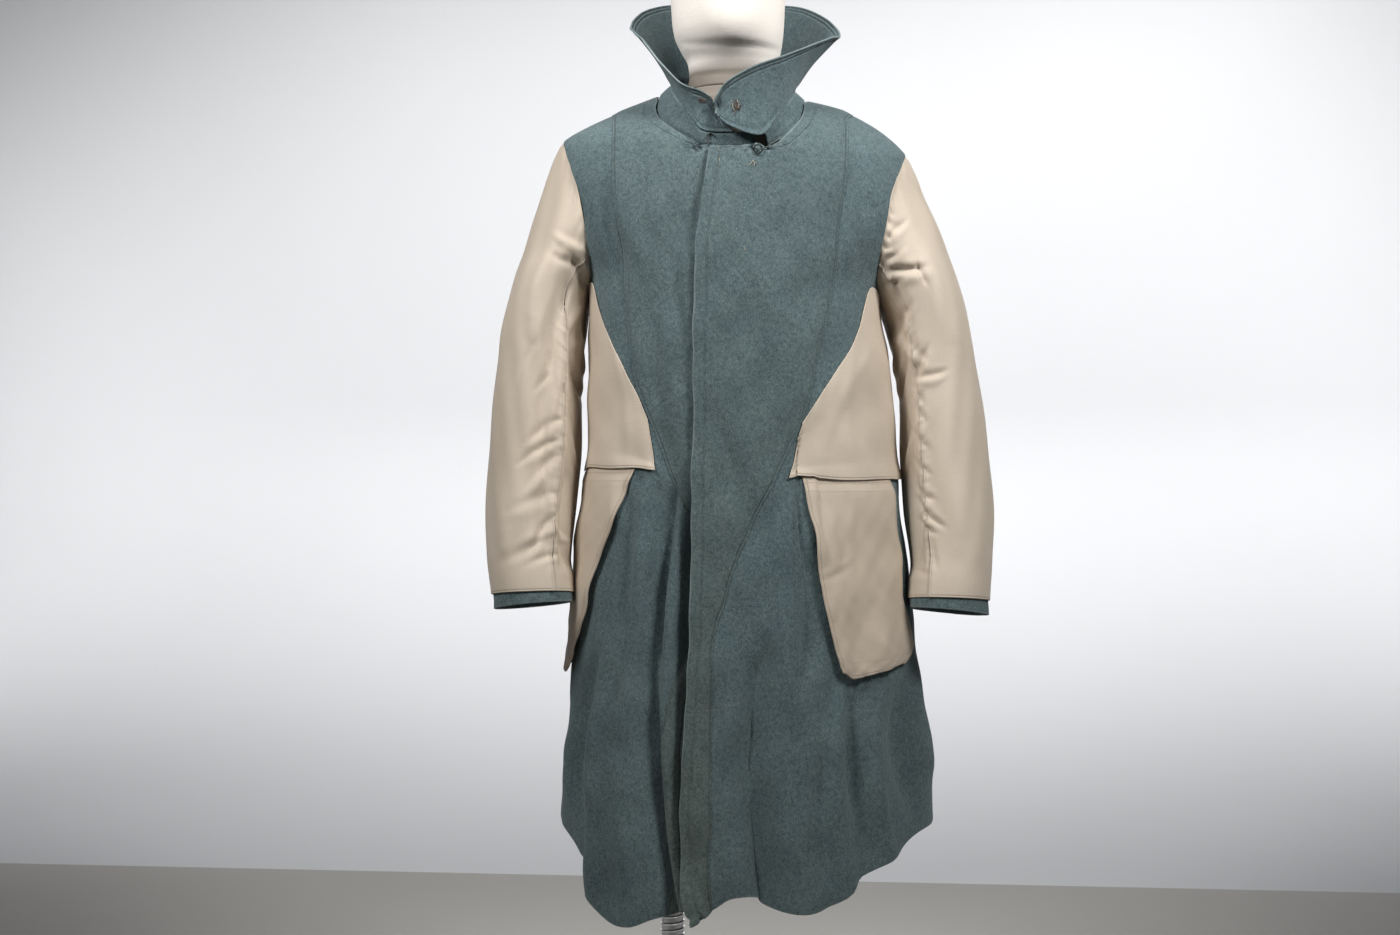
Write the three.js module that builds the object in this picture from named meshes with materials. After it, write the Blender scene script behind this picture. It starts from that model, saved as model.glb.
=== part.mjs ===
// A long wool overcoat turned inside out, on a limbless dress form with a smooth head on a steel pole.
// Millimetres, +Z up, the origin on the floor under the middle of the stand's base.
// The coat's front faces -Y. Left and right are the wearer's, so left is +X.
import * as THREE from "three";

// Driving dimensions
const SEAM_GAP = 0.5; // between two pieces that are sewn together
const LAYER_GAP = 0.85; // between a panel and the facing on it
const LINING_GAP = 1.7; // between a panel and the lining on it
const LINING_HEM_GAP = 1.1; // the same along the waist, where the lining is sewn down
const WOOL = 2.4; // thickness of the coat's panels, collar and cuffs
const FACING = 2.0; // thickness of the front facings
const LINING = 1.6; // thickness of the sleeve and side linings
const POCKET_BAG = 4.0; // both plies of a hanging pocket bag
const MIDLINE = -5; // X of the line that turns are measured round
const SHOULDER_DROP = 0.04; // how much lower the left shoulder sits, for each mm of X
const DROP_FROM = 1000; // the level where that starts, and the height over which it comes in
const DROP_OVER = 200;
const WAIST = 960; // level where the skirt rows end and the upper rows start
const SIDE_SEAM_TURN = 100; // degrees round from the front
const OVERLAP_LIFT = 8; // how far the left front stands off where it lies over the right one
const OVERLAP_TURN = 18; // the turn where that starts to fade, and how many degrees it takes
const OVERLAP_FADE = 32;
const SIDE_RADIUS = 210; // radii that turn a seam's gap into degrees
const BACK_RADIUS = 120;
const SLEEVE_RADIUS = 60;

// The coat's level sections from hem to neck: reach to each side, and how square each one is
const SECTIONS = [
  { z: 360, right: -236, left: 266, front: -152, back: 160, square: 2.3 },
  { z: 500, right: -233, left: 260, front: -148, back: 152, square: 2.3 },
  { z: 580, right: -229, left: 256, front: -144, back: 145, square: 2.3 },
  { z: 680, right: -222, left: 246, front: -138, back: 136, square: 2.35 },
  { z: 770, right: -216, left: 236, front: -134, back: 128, square: 2.4 },
  { z: 880, right: -208, left: 223, front: -130, back: 121, square: 2.45 },
  { z: 985, right: -199, left: 212, front: -127, back: 116, square: 2.5 },
  { z: 1100, right: -197, left: 203, front: -127, back: 116, square: 2.5 },
  { z: 1195, right: -197, left: 188, front: -126, back: 117, square: 2.5 },
  { z: 1215, right: -200, left: 191, front: -126, back: 118, square: 2.5 },
  { z: 1245, right: -216, left: 206, front: -125, back: 118, square: 2.5 },
  { z: 1296, right: -243, left: 232, front: -122, back: 118, square: 2.4 },
  { z: 1340, right: -251, left: 239, front: -117, back: 112, square: 2.3 },
  { z: 1378, right: -243, left: 234, front: -109, back: 99, square: 2.2 },
  { z: 1393, right: -231, left: 226, front: -103, back: 93, square: 2.1 },
  { z: 1413, right: -198, left: 205, front: -93, back: 87, square: 2 },
  { z: 1430, right: -163, left: 179, front: -80, back: 82, square: 2 },
  { z: 1445, right: -129, left: 145, front: -64, back: 79, square: 2 },
  { z: 1456, right: -104, left: 92, front: -50, back: 77, square: 2 },
];

// The largest folds: a soft ridge (depth over 0) or trough that starts at a level and deepens downwards
const FOLDS = [
  { on: "under", start: 960, full: 700, turnTop: -41, turnHem: -45, half: 17, depth: 12, hem: 13 },
  { on: "under", start: 975, full: 840, turnTop: -19, turnHem: -20, half: 18, depth: -34, hem: -16 },
  { on: "under", start: 790, full: 500, turnTop: -74, turnHem: -77, half: 15, depth: -20, hem: -30 },
  { on: "over", start: 800, full: 560, turnTop: 8, turnHem: 14, half: 13, depth: -10, hem: -18 },
  { on: "over", start: 900, full: 640, turnTop: 30, turnHem: 31, half: 13, depth: 10, hem: 10 },
  { on: "over", start: 700, full: 520, turnTop: 44, turnHem: 46, half: 8, depth: 6, hem: 10 },
  { on: "over", start: 760, full: 520, turnTop: 70, turnHem: 76, half: 15, depth: -14, hem: -28 },
  { on: "over", start: 470, full: 385, turnTop: -24, turnHem: -20, half: 9, depth: 12, hem: 14 },
  { on: "all", start: 760, full: 520, turnTop: -108, turnHem: -110, half: 24, depth: 14, hem: 22 },
  { on: "all", start: 760, full: 520, turnTop: 104, turnHem: 107, half: 24, depth: 16, hem: 24 },
  { on: "back", start: 820, full: 560, turnTop: -138, turnHem: -134, half: 13, depth: -14, hem: -24 },
  { on: "back", start: 860, full: 560, turnTop: -156, turnHem: -157, half: 14, depth: 10, hem: 18 },
  { on: "back", start: 900, full: 560, turnTop: 180, turnHem: 180, half: 12, depth: -10, hem: -22 },
  { on: "back", start: 860, full: 600, turnTop: 158, turnHem: 155, half: 13, depth: 12, hem: 20 },
  { on: "back", start: 800, full: 540, turnTop: 134, turnHem: 131, half: 13, depth: -12, hem: -22 },
];
const FOLD_END = 380; // the level at which a fold reaches its turn and depth at the hem

// The hem's level, round the coat
const HEM_RIGHT = [
  { turn: -180, z: 492 },
  { turn: -150, z: 502 },
  { turn: -128, z: 500 },
  { turn: -112, z: 505 },
  { turn: -100, z: 488 },
  { turn: -86, z: 468 },
  { turn: -74, z: 436 },
  { turn: -63, z: 394 },
  { turn: -54, z: 374 },
  { turn: -44, z: 369 },
  { turn: -36, z: 380 },
  { turn: -24, z: 390 },
];
const HEM_LEFT = [
  { turn: -20, z: 374 },
  { turn: -8, z: 397 },
  { turn: 4, z: 410 },
  { turn: 15, z: 402 },
  { turn: 30, z: 389 },
  { turn: 44, z: 401 },
  { turn: 54, z: 430 },
  { turn: 66, z: 448 },
  { turn: 80, z: 472 },
  { turn: 95, z: 481 },
  { turn: 107, z: 494 },
  { turn: 125, z: 502 },
  { turn: 150, z: 496 },
  { turn: 180, z: 492 },
];

// The front edges and the seams where the facings end, by level
const FRONT_EDGE = {
  over: [
    { z: 374, x: -62 },
    { z: 405, x: -70 },
    { z: 443, x: -74 },
    { z: 583, x: -70 },
    { z: 684, x: -65 },
    { z: 868, x: -61 },
    { z: 1090, x: -58 },
    { z: 1213, x: -57 },
    { z: 1296, x: -49 },
    { z: 1374, x: -38 },
  ],
  under: [
    { z: 390, x: -62 },
    { z: 616, x: -62 },
    { z: 700, x: -46 },
    { z: 777, x: -12 },
    { z: 893, x: 18 },
    { z: 1000, x: 27 },
    { z: 1374, x: 20 },
  ],
};
const FACING_SEAM = {
  over: [
    { z: 380, x: -33 },
    { z: 443, x: -38 },
    { z: 716, x: -33 },
    { z: 777, x: -19 },
    { z: 834, x: -4 },
    { z: 928, x: 38 },
    { z: 999, x: 71 },
    { z: 1028, x: 86 },
    { z: 1086, x: 98 },
    { z: 1151, x: 113 },
    { z: 1214, x: 124 },
    { z: 1337, x: 140 },
    { z: 1450, x: 148 },
  ],
  under: [
    { z: 380, x: -94 },
    { z: 616, x: -97 },
    { z: 680, x: -82 },
    { z: 777, x: -47 },
    { z: 834, x: -46 },
    { z: 893, x: -63 },
    { z: 937, x: -85 },
    { z: 974, x: -98 },
    { z: 1028, x: -119 },
    { z: 1064, x: -132 },
    { z: 1149, x: -145 },
    { z: 1214, x: -153 },
    { z: 1326, x: -163 },
    { z: 1450, x: -166 },
  ],
};

// Each armhole is an oval seen from the side. Its stations run from the shoulder (0) to the armpit (180).
const ARMHOLE = { middle: 1294, tall: 99, centre: 3, deep: 80 };
const ARMPIT = ARMHOLE.middle - ARMHOLE.tall;
const STATIONS = [0, 6, 12, 18, 27, 36, 54, 72, 90, 108, 126, 144, 162, 180];
// Where the rows of each front start: up the front edge, then along the neckline
const FRONT_ROWS = {
  over: [
    { z: 1195 },
    { z: 1220 },
    { z: 1248 },
    { z: 1278 },
    { z: 1306 },
    { z: 1332 },
    { z: 1354 },
    { z: 1374 },
    { z: 1376, x: 36 },
    { z: 1392, x: 60 },
    { z: 1416, x: 79 },
    { z: 1437, x: 87 },
    { z: 1449, x: 90 },
    { z: 1456, x: 91 },
  ],
  under: [
    { z: 1195 },
    { z: 1220 },
    { z: 1248 },
    { z: 1278 },
    { z: 1306 },
    { z: 1332 },
    { z: 1354 },
    { z: 1374 },
    { z: 1376, x: -40 },
    { z: 1390, x: -72 },
    { z: 1410, x: -99 },
    { z: 1432, x: -108 },
    { z: 1446, x: -106 },
    { z: 1456, x: -103 },
  ],
};
const BACK_NECK_TURNS = [180, 170, 155, 138, 120, 104, 90];
const BACK_NECK = 1457;
const MIDDLE_ROWS = [1010, 1060, 1110, 1155]; // levels between the waist and the armpit
const SKIRT_ROWS = 10;
const FACING_COLUMNS = 4;
const FRONT_COLUMNS = 10; // from the facing's seam to the side seam
const BACK_COLUMNS = 10;

// The side linings: the front corner, the waist edge and the point under the arm
const LININGS = {
  left: {
    bottom: 945,
    corner: 28,
    edge: [
      { turn: 35.5, z: 1018 },
      { turn: 42, z: 1049 },
      { turn: 50, z: 1086 },
      { turn: 58, z: 1127 },
      { turn: 65, z: 1176 },
      { turn: 71, z: 1205 },
      { turn: 78, z: 1201 },
      { turn: 84, z: 1191 },
      { turn: 90, z: 1187 },
      { turn: 97, z: 1190 },
      { turn: 110, z: 1192 },
      { turn: 118, z: 1158 },
      { turn: 130, z: 1095 },
      { turn: 142, z: 1030 },
    ],
  },
  right: {
    bottom: 958,
    corner: 41,
    edge: [
      { turn: 45.4, z: 1022 },
      { turn: 49.5, z: 1053 },
      { turn: 56, z: 1092 },
      { turn: 64.5, z: 1134 },
      { turn: 70, z: 1168 },
      { turn: 75, z: 1196 },
      { turn: 80, z: 1200 },
      { turn: 85, z: 1191 },
      { turn: 90, z: 1187 },
      { turn: 97, z: 1190 },
      { turn: 110, z: 1192 },
      { turn: 118, z: 1160 },
      { turn: 130, z: 1100 },
      { turn: 142, z: 1034 },
    ],
  },
};
const LINING_COLUMNS = 22;
const LINING_ROWS = 4;

// The pocket bags: one row for each level down the bag, with the turns of its two edges
const POCKET_BAGS = {
  left: [
    { front: 34, back: 73, zFront: 938, zBack: 941 },
    { front: 36, back: 73, zFront: 890, zBack: 895 },
    { front: 37, back: 73.5, zFront: 840, zBack: 846 },
    { front: 38.5, back: 73.5, zFront: 790, zBack: 798 },
    { front: 41, back: 75, zFront: 745, zBack: 756 },
    { front: 44, back: 77, zFront: 708, zBack: 722 },
    { front: 49, back: 72, zFront: 683, zBack: 700 },
  ],
  right: [
    { front: 50, back: 93, zFront: 952, zBack: 955 },
    { front: 55, back: 97, zFront: 905, zBack: 908 },
    { front: 60, back: 101, zFront: 860, zBack: 862 },
    { front: 64, back: 104, zFront: 812, zBack: 812 },
    { front: 69, back: 106, zFront: 765, zBack: 762 },
    { front: 75, back: 105, zFront: 722, zBack: 718 },
    { front: 81, back: 99, zFront: 696, zBack: 692 },
  ],
};
const BAG_COLUMNS = 8;
const BAG_GAP = 1.95; // a bag hangs this far off the skirt's cloth

// The sleeves by level: the outer and the inner side, the middle from front to back, and half the depth
const SLEEVES = {
  right: [
    { z: 766, outer: -326, inner: -215, middle: -57, deep: 54 },
    { z: 785, outer: -326, inner: -216, middle: -55, deep: 54 },
    { z: 814, outer: -330, inner: -219, middle: -50, deep: 56 },
    { z: 849, outer: -335, inner: -219, middle: -42, deep: 58 },
    { z: 900, outer: -336, inner: -216, middle: -33, deep: 60 },
    { z: 963, outer: -333, inner: -210, middle: -22, deep: 62 },
    { z: 1042, outer: -328, inner: -207, middle: -13, deep: 65 },
    { z: 1100, outer: -323, inner: -206, middle: -8, deep: 67 },
    { z: 1145, outer: -319, inner: -206, middle: -4, deep: 70 },
    { z: 1195, outer: -307, inner: -205, middle: 0, deep: 74 },
    { z: 1222, outer: -299, inner: -187, middle: 1, deep: 76 },
    { z: 1252, outer: -288, inner: -160, middle: 2, deep: 78 },
    { z: 1296, outer: -278, inner: -130, middle: 3, deep: 80 },
    { z: 1340, outer: -266, inner: -122, middle: 3, deep: 80 },
    { z: 1370, outer: -256, inner: -115, middle: 3, deep: 80 },
    { z: 1400, outer: -240, inner: -110, middle: 3, deep: 80 },
  ],
  left: [
    { z: 762, outer: 334, inner: 225, middle: -62, deep: 54 },
    { z: 785, outer: 334, inner: 226, middle: -59, deep: 54 },
    { z: 810, outer: 336, inner: 228, middle: -54, deep: 56 },
    { z: 845, outer: 340, inner: 228, middle: -45, deep: 58 },
    { z: 900, outer: 342, inner: 223, middle: -34, deep: 60 },
    { z: 963, outer: 338, inner: 220, middle: -22, deep: 62 },
    { z: 1036, outer: 331, inner: 218, middle: -13, deep: 65 },
    { z: 1088, outer: 324, inner: 213, middle: -8, deep: 67 },
    { z: 1138, outer: 317, inner: 207, middle: -4, deep: 70 },
    { z: 1180, outer: 309, inner: 200, middle: 0, deep: 74 },
    { z: 1215, outer: 298, inner: 182, middle: 1, deep: 76 },
    { z: 1245, outer: 287, inner: 156, middle: 2, deep: 78 },
    { z: 1288, outer: 274, inner: 122, middle: 3, deep: 80 },
    { z: 1330, outer: 257, inner: 112, middle: 3, deep: 80 },
    { z: 1362, outer: 247, inner: 106, middle: 3, deep: 80 },
    { z: 1390, outer: 234, inner: 100, middle: 3, deep: 80 },
  ],
};
const CUFF_END = { right: 777, left: 769 };
const CUFF_SLANT = 5; // the outer side of a cuff hangs this much lower than its middle
const CUFF_BAND = 16; // a cuff's lowest row, which the sleeve lining leaves bare
const CUFF_TUCK = 22; // the rest of it, up inside the lining
const CUFF_GAP = 1.1; // between that wool and the lining
const SLEEVE_ROWS = 13;
const HEAD_GAP = 0.9; // between an armhole's edge and the sleeve's
const ARMPIT_GAP = 4.4; // more, under the arm, where the side lining comes between
const HEAD_BLEND = 0.26; // share of the sleeve's length over which it leaves the armhole's oval
const FORE_SEAM = 126; // stations of the two sleeve seams
const HIND_SEAM = 252;

// The collar by station, front end to centre back: neck seam, fold of the turned-up fall, outer edge
const COLLAR = {
  right: [
    { nx: 20, ny: -110, nz: 1378, fx: 20, fy: -110, fz: 1397, ex: -29, ey: -117, ez: 1437 },
    { nx: -40, ny: -109, nz: 1379, fx: -42, fy: -111, fz: 1398, ex: -50, ey: -118, ez: 1450 },
    { nx: -62, ny: -103, nz: 1391, fx: -60, fy: -107, fz: 1417, ex: -76, ey: -115, ez: 1461 },
    { nx: -87, ny: -90, nz: 1407, fx: -76, fy: -88, fz: 1440, ex: -108, ey: -92, ez: 1499 },
    { nx: -106, ny: -64, nz: 1431, fx: -84, fy: -60, fz: 1457, ex: -126, ey: -62, ez: 1528 },
    { nx: -106, ny: -30, nz: 1452, fx: -87, fy: -30, fz: 1470, ex: -139, ey: -30, ez: 1546 },
    { nx: -102, ny: 3, nz: 1465, fx: -86, fy: 6, fz: 1481, ex: -143, ey: 8, ez: 1563 },
    { nx: -92, ny: 36, nz: 1464, fx: -75, fy: 38, fz: 1487, ex: -128, ey: 48, ez: 1590 },
    { nx: -58, ny: 67, nz: 1462, fx: -48, fy: 62, fz: 1491, ex: -88, ey: 88, ez: 1609 },
    { nx: -5, ny: 80, nz: 1461, fx: -5, fy: 73, fz: 1492, ex: -5, ey: 106, ez: 1613 },
  ],
  left: [
    { nx: 38, ny: -110, nz: 1380, fx: -31, fy: -124, fz: 1419, ex: -33, ey: -125, ez: 1432 },
    { nx: 44, ny: -108, nz: 1385, fx: -10, fy: -126, fz: 1401, ex: -18, ey: -128, ez: 1457 },
    { nx: 60, ny: -102, nz: 1396, fx: 29, fy: -121, fz: 1391, ex: 16, ey: -128, ez: 1478 },
    { nx: 77, ny: -86, nz: 1414, fx: 50, fy: -106, fz: 1417, ex: 56, ey: -114, ez: 1495 },
    { nx: 89, ny: -56, nz: 1436, fx: 65, fy: -80, fz: 1440, ex: 92, ey: -86, ez: 1514 },
    { nx: 91, ny: -28, nz: 1450, fx: 73, fy: -45, fz: 1457, ex: 124, ey: -46, ez: 1534 },
    { nx: 90, ny: 3, nz: 1458, fx: 76, fy: -5, fz: 1470, ex: 139, ey: -8, ez: 1545 },
    { nx: 80, ny: 36, nz: 1459, fx: 66, fy: 34, fz: 1481, ex: 126, ey: 38, ez: 1576 },
    { nx: 48, ny: 67, nz: 1460, fx: 40, fy: 61, fz: 1489, ex: 84, ey: 85, ez: 1606 },
    { nx: -5, ny: 80, nz: 1461, fx: -5, fy: 73, fz: 1492, ex: -5, ey: 106, ez: 1613 },
  ],
};
const STAND_STATION = { right: 0, left: 2.2 }; // where each stand and each fall starts
const FALL_STATION = { right: 0.4, left: 0 };
const STAND_RISE = {
  right: { from: 0.1, to: 0.9, rows: 2 }, // shares of the way from neck seam to fold
  left: { from: 0.1, to: 0.94, rows: 2 },
};
const FALL_RISE = { from: 0.025, to: 1, rows: 4 }; // shares of the way from fold to outer edge
const COLLAR_BACK_GAP = 0.03; // in stations, at the centre back seam
const COLLAR_COLUMNS = 14;
const COLLAR_CENTRE = -10; // Y of the middle that the falls bow towards
const FALL_BOW = 5; // how far the turned-up fall bows inwards between its fold and its edge

// The hook's wire on the right stand's end, and the eye on the left front's top edge
const WIRE = 1.8;
const HOOK = [
  { x: -36, y: -113.4, z: 1382 },
  { x: -41, y: -114.4, z: 1386 },
  { x: -41, y: -114.4, z: 1391 },
  { x: -36, y: -113.4, z: 1394 },
  { x: -32, y: -115.4, z: 1391 },
];
const EYE = { x: 25, y: -124.5, z: 1372, radius: 5.5 };

// The dress form: how far it stays inside the coat, then its neck, and the head above it
const FORM_INSET = [
  { z: 790, in: 74 },
  { z: 830, in: 56 },
  { z: 900, in: 44 },
  { z: 985, in: 46 },
  { z: 1100, in: 34 },
  { z: 1250, in: 26 },
  { z: 1330, in: 24 },
  { z: 1378, in: 9 },
  { z: 1400, in: 4.4 },
  { z: 1430, in: 5 },
  { z: 1456, in: 4 },
];
const FORM_LEVELS = [
  790, 800, 850, 920, 985, 1060, 1140, 1220, 1290, 1340, 1370, 1393, 1404, 1417, 1430, 1444,
];
const FORM_LEVEL_BELOW = 1000; // its rings lie level up to here
const FORM_COLUMNS = 32;
const HEAD = [
  { z: 1468.5, wide: 64, front: -62, back: 58, x: -4 },
  { z: 1490, wide: 61, front: -62, back: 56, x: -4 },
  { z: 1508, wide: 62, front: -72, back: 56, x: -5 },
  { z: 1524, wide: 68, front: -90, back: 62, x: -8 },
  { z: 1545, wide: 74, front: -101, back: 74, x: -11 },
  { z: 1580, wide: 77, front: -105, back: 88, x: -12 },
  { z: 1630, wide: 78, front: -104, back: 99, x: -12 },
  { z: 1680, wide: 75, front: -98, back: 97, x: -12 },
  { z: 1720, wide: 64, front: -82, back: 80, x: -12 },
  { z: 1745, wide: 46, front: -58, back: 56, x: -12 },
  { z: 1758, wide: 24, front: -30, back: 30, x: -12 },
  { z: 1762, wide: 8, front: -10, back: 10, x: -12 },
];
const NECK_TOP = 1468; // top of the torso piece, where the neck's cover is seamed

// The stand
const POLE = { x: -87, y: 0, radius: 15 };
const BASE = { radius: 200, thick: 10, edge: 3 };

// Small helpers
const clamp = (value, low, high) => Math.min(Math.max(value, low), high);
const mix = (a, b, t) => a + (b - a) * t;
const radians = (degrees) => (degrees * Math.PI) / 180;
const halfGapTurn = (radius) => (SEAM_GAP / 2 / radius) * (180 / Math.PI);
function smooth(t) {
  const inside = clamp(t, 0, 1);
  return inside * inside * (3 - 2 * inside);
}

// A smooth curve through a table's rows, which reads one column off against another.
function curve(table, by, column) {
  const at = table.map((row) => row[by]);
  const value = table.map((row) => row[column]);
  const last = at.length - 1;
  const slope = at.map((_, i) => {
    const before = Math.max(i - 1, 0);
    const after = Math.min(i + 1, last);
    return (value[after] - value[before]) / (at[after] - at[before]);
  });
  return (where) => {
    let i = 0;
    while (i < last - 1 && where > at[i + 1]) i += 1;
    const step = at[i + 1] - at[i];
    const t = clamp((where - at[i]) / step, 0, 1);
    const t2 = t * t;
    const t3 = t2 * t;
    return (
      value[i] * (2 * t3 - 3 * t2 + 1) +
      value[i + 1] * (3 * t2 - 2 * t3) +
      step * (slope[i] * (t3 - 2 * t2 + t) + slope[i + 1] * (t3 - t2))
    );
  };
}

// The parameter between low and high at which a rising or falling measure meets its target
function solve(measure, target, low, high) {
  const rising = measure(high) > measure(low);
  let a = low;
  let b = high;
  for (let i = 0; i < 40; i += 1) {
    const middle = (a + b) / 2;
    if (measure(middle) < target === rising) a = middle;
    else b = middle;
  }
  return (a + b) / 2;
}

// The coat's body: a point at a turn round from the front and at a level, on one of its layers
const reach = {
  right: curve(SECTIONS, "z", "right"),
  left: curve(SECTIONS, "z", "left"),
  front: curve(SECTIONS, "z", "front"),
  back: curve(SECTIONS, "z", "back"),
  square: curve(SECTIONS, "z", "square"),
};

function foldDepth(turn, z, layer) {
  let depth = 0;
  for (const fold of FOLDS) {
    if (fold.on !== "all" && fold.on !== layer) continue;
    const down = smooth((fold.start - z) / (fold.start - fold.full));
    const further = smooth((fold.full - z) / (fold.full - FOLD_END));
    const along = smooth((fold.start - z) / (fold.start - FOLD_END));
    const centre = mix(fold.turnTop, fold.turnHem, along);
    let away = Math.abs(turn - centre);
    if (away > 180) away = 360 - away;
    if (away >= fold.half) continue;
    const bump = 0.5 * (1 + Math.cos((Math.PI * away) / fold.half));
    depth += bump * down * mix(fold.depth, fold.hem, further);
  }
  return depth;
}

function bodyPoint(turn, z, layer) {
  const angle = radians(turn);
  const sine = Math.sin(angle);
  const cosine = Math.cos(angle);
  const wide = sine > 0 ? reach.left(z) - MIDLINE : MIDLINE - reach.right(z);
  const deep = cosine > 0 ? -reach.front(z) : reach.back(z);
  const power = reach.square(z);
  const sum = Math.pow(Math.abs(sine) / wide, power) + Math.pow(Math.abs(cosine) / deep, power);
  const radius = Math.pow(sum, -1 / power) + foldDepth(turn, z, layer);
  const x = MIDLINE + radius * sine;
  const lean = -SHOULDER_DROP * x * smooth((z - DROP_FROM) / DROP_OVER);
  return new THREE.Vector3(x, -radius * cosine, z + lean);
}

// A middle point and the outward normal of any surface that is a function of two parameters
function framed(surface, u, v, stepU, stepV) {
  const alongU = surface(u + stepU, v).sub(surface(u - stepU, v));
  const alongV = surface(u, v + stepV).sub(surface(u, v - stepV));
  return { point: surface(u, v), normal: alongU.cross(alongV).normalize() };
}

function bodyFrame(turn, z, layer, lift) {
  const frame = framed((u, v) => bodyPoint(u, v, layer), turn, z, 0.5, 1);
  frame.point.addScaledVector(frame.normal, lift);
  return frame;
}

// The turn at which the coat's front lies at an X, or its side at a depth Y
const turnAtX = (x, z, layer) => solve((turn) => bodyPoint(turn, z, layer).x, x, -88, 88);
function turnAtY(y, z, side) {
  return side * solve((turn) => bodyPoint(side * turn, z, "plain").y, y, 1, 179);
}

// How far a layer's middle stands off the coat's body
function panelLift(layer, turn) {
  if (layer !== "over") return 0;
  return OVERLAP_LIFT * (1 - smooth((turn - OVERLAP_TURN) / OVERLAP_FADE));
}

function armholePoint(station, side) {
  const angle = radians(station);
  const z = ARMHOLE.middle + ARMHOLE.tall * Math.cos(angle);
  const y = ARMHOLE.centre - ARMHOLE.deep * Math.sin(angle);
  return { turn: turnAtY(y, z, side), z };
}

// A closed cloth wall: at(i, j) gives the frames of its middle, thickness may vary over it.
function wall(at, columns, rows, thickness) {
  const thick = typeof thickness === "function" ? thickness : () => thickness;
  const positions = [];
  for (const face of [0.5, -0.5]) {
    for (let j = 0; j <= rows; j += 1) {
      for (let i = 0; i <= columns; i += 1) {
        const { point, normal } = at(i, j);
        const p = point.clone().addScaledVector(normal, face * thick(i, j));
        positions.push(p.x, p.y, p.z);
      }
    }
  }
  const width = columns + 1;
  const inside = width * (rows + 1);
  const index = [];
  const quad = (a, b, c, d) => index.push(a, b, c, a, c, d);
  for (let j = 0; j < rows; j += 1) {
    for (let i = 0; i < columns; i += 1) {
      const k = j * width + i;
      quad(k, k + 1, k + width + 1, k + width);
      index.push(inside + k, inside + k + width + 1, inside + k + 1);
      index.push(inside + k, inside + k + width, inside + k + width + 1);
    }
  }
  for (let i = 0; i < columns; i += 1) {
    const top = rows * width + i;
    quad(i + 1, i, inside + i, inside + i + 1);
    quad(top, top + 1, inside + top + 1, inside + top);
  }
  for (let j = 0; j < rows; j += 1) {
    const near = j * width;
    const far = near + columns;
    quad(near, near + width, inside + near + width, inside + near);
    quad(far + width, far, inside + far, inside + far + width);
  }
  return outwards(positions, index);
}

// A closed tube wall round a hollow: at(i, j) gives frames, with i running right round.
function sleeveWall(at, columns, rows, thickness) {
  const positions = [];
  for (const face of [0.5, -0.5]) {
    for (let j = 0; j <= rows; j += 1) {
      for (let i = 0; i < columns; i += 1) {
        const { point, normal } = at(i, j);
        const p = point.clone().addScaledVector(normal, face * thickness);
        positions.push(p.x, p.y, p.z);
      }
    }
  }
  const inside = columns * (rows + 1);
  const index = [];
  const quad = (a, b, c, d) => index.push(a, b, c, a, c, d);
  for (let i = 0; i < columns; i += 1) {
    const next = (i + 1) % columns;
    for (let j = 0; j < rows; j += 1) {
      const row = j * columns;
      const above = row + columns;
      quad(row + i, row + next, above + next, above + i);
      quad(inside + row + next, inside + row + i, inside + above + i, inside + above + next);
    }
    const top = rows * columns;
    quad(next, i, inside + i, inside + next);
    quad(top + i, top + next, inside + top + next, inside + top + i);
  }
  return outwards(positions, index);
}

// A solid stacked from closed rings, with flat ends.
function stacked(rings) {
  const columns = rings[0].length;
  const positions = [];
  const index = [];
  for (const ring of rings) for (const p of ring) positions.push(p.x, p.y, p.z);
  for (let j = 0; j + 1 < rings.length; j += 1) {
    for (let i = 0; i < columns; i += 1) {
      const next = (i + 1) % columns;
      const a = j * columns + i;
      const b = j * columns + next;
      index.push(a, b, b + columns, a, b + columns, a + columns);
    }
  }
  for (const [ring, first] of [
    [rings[0], 0],
    [rings[rings.length - 1], (rings.length - 1) * columns],
  ]) {
    const centre = new THREE.Vector3();
    for (const p of ring) centre.addScaledVector(p, 1 / columns);
    const middle = positions.length / 3;
    positions.push(centre.x, centre.y, centre.z);
    for (let i = 0; i < columns; i += 1) {
      const a = first + i;
      const b = first + ((i + 1) % columns);
      if (first === 0) index.push(b, a, middle);
      else index.push(a, b, middle);
    }
  }
  return outwards(positions, index);
}

// A geometry whose faces point out, whichever way round its parameters run.
function outwards(positions, index) {
  const at = (k) => new THREE.Vector3().fromArray(positions, 3 * k);
  let volume = 0;
  for (let k = 0; k < index.length; k += 3) {
    volume += at(index[k]).dot(at(index[k + 1]).cross(at(index[k + 2])));
  }
  const facing = volume < 0 ? index.slice().reverse() : index;
  const geometry = new THREE.BufferGeometry();
  geometry.setAttribute("position", new THREE.Float32BufferAttribute(positions, 3));
  geometry.setIndex(facing);
  geometry.computeVertexNormals();
  return geometry;
}

// Materials
function finish(color, roughness, metalness = 0) {
  return new THREE.MeshStandardMaterial({ color, roughness, metalness });
}
const WOOL_FINISH = finish(0x4a6668, 0.95);
const SATIN_FINISH = finish(0xa8998a, 0.55);
const TWILL_FINISH = finish(0xb0a28e, 0.85);
const LINEN_FINISH = finish(0xe6dfd4, 0.9);
const CHROME_FINISH = finish(0xd4d6d8, 0.15, 1);
const STEEL_FINISH = finish(0x8e9194, 0.4, 1);
const BLACK_FINISH = finish(0x1c1b1a, 0.5, 1);

const overcoat = new THREE.Group();
function add(name, geometry, material) {
  const mesh = new THREE.Mesh(geometry, material.clone());
  mesh.name = name;
  overcoat.add(mesh);
  return mesh;
}

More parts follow.
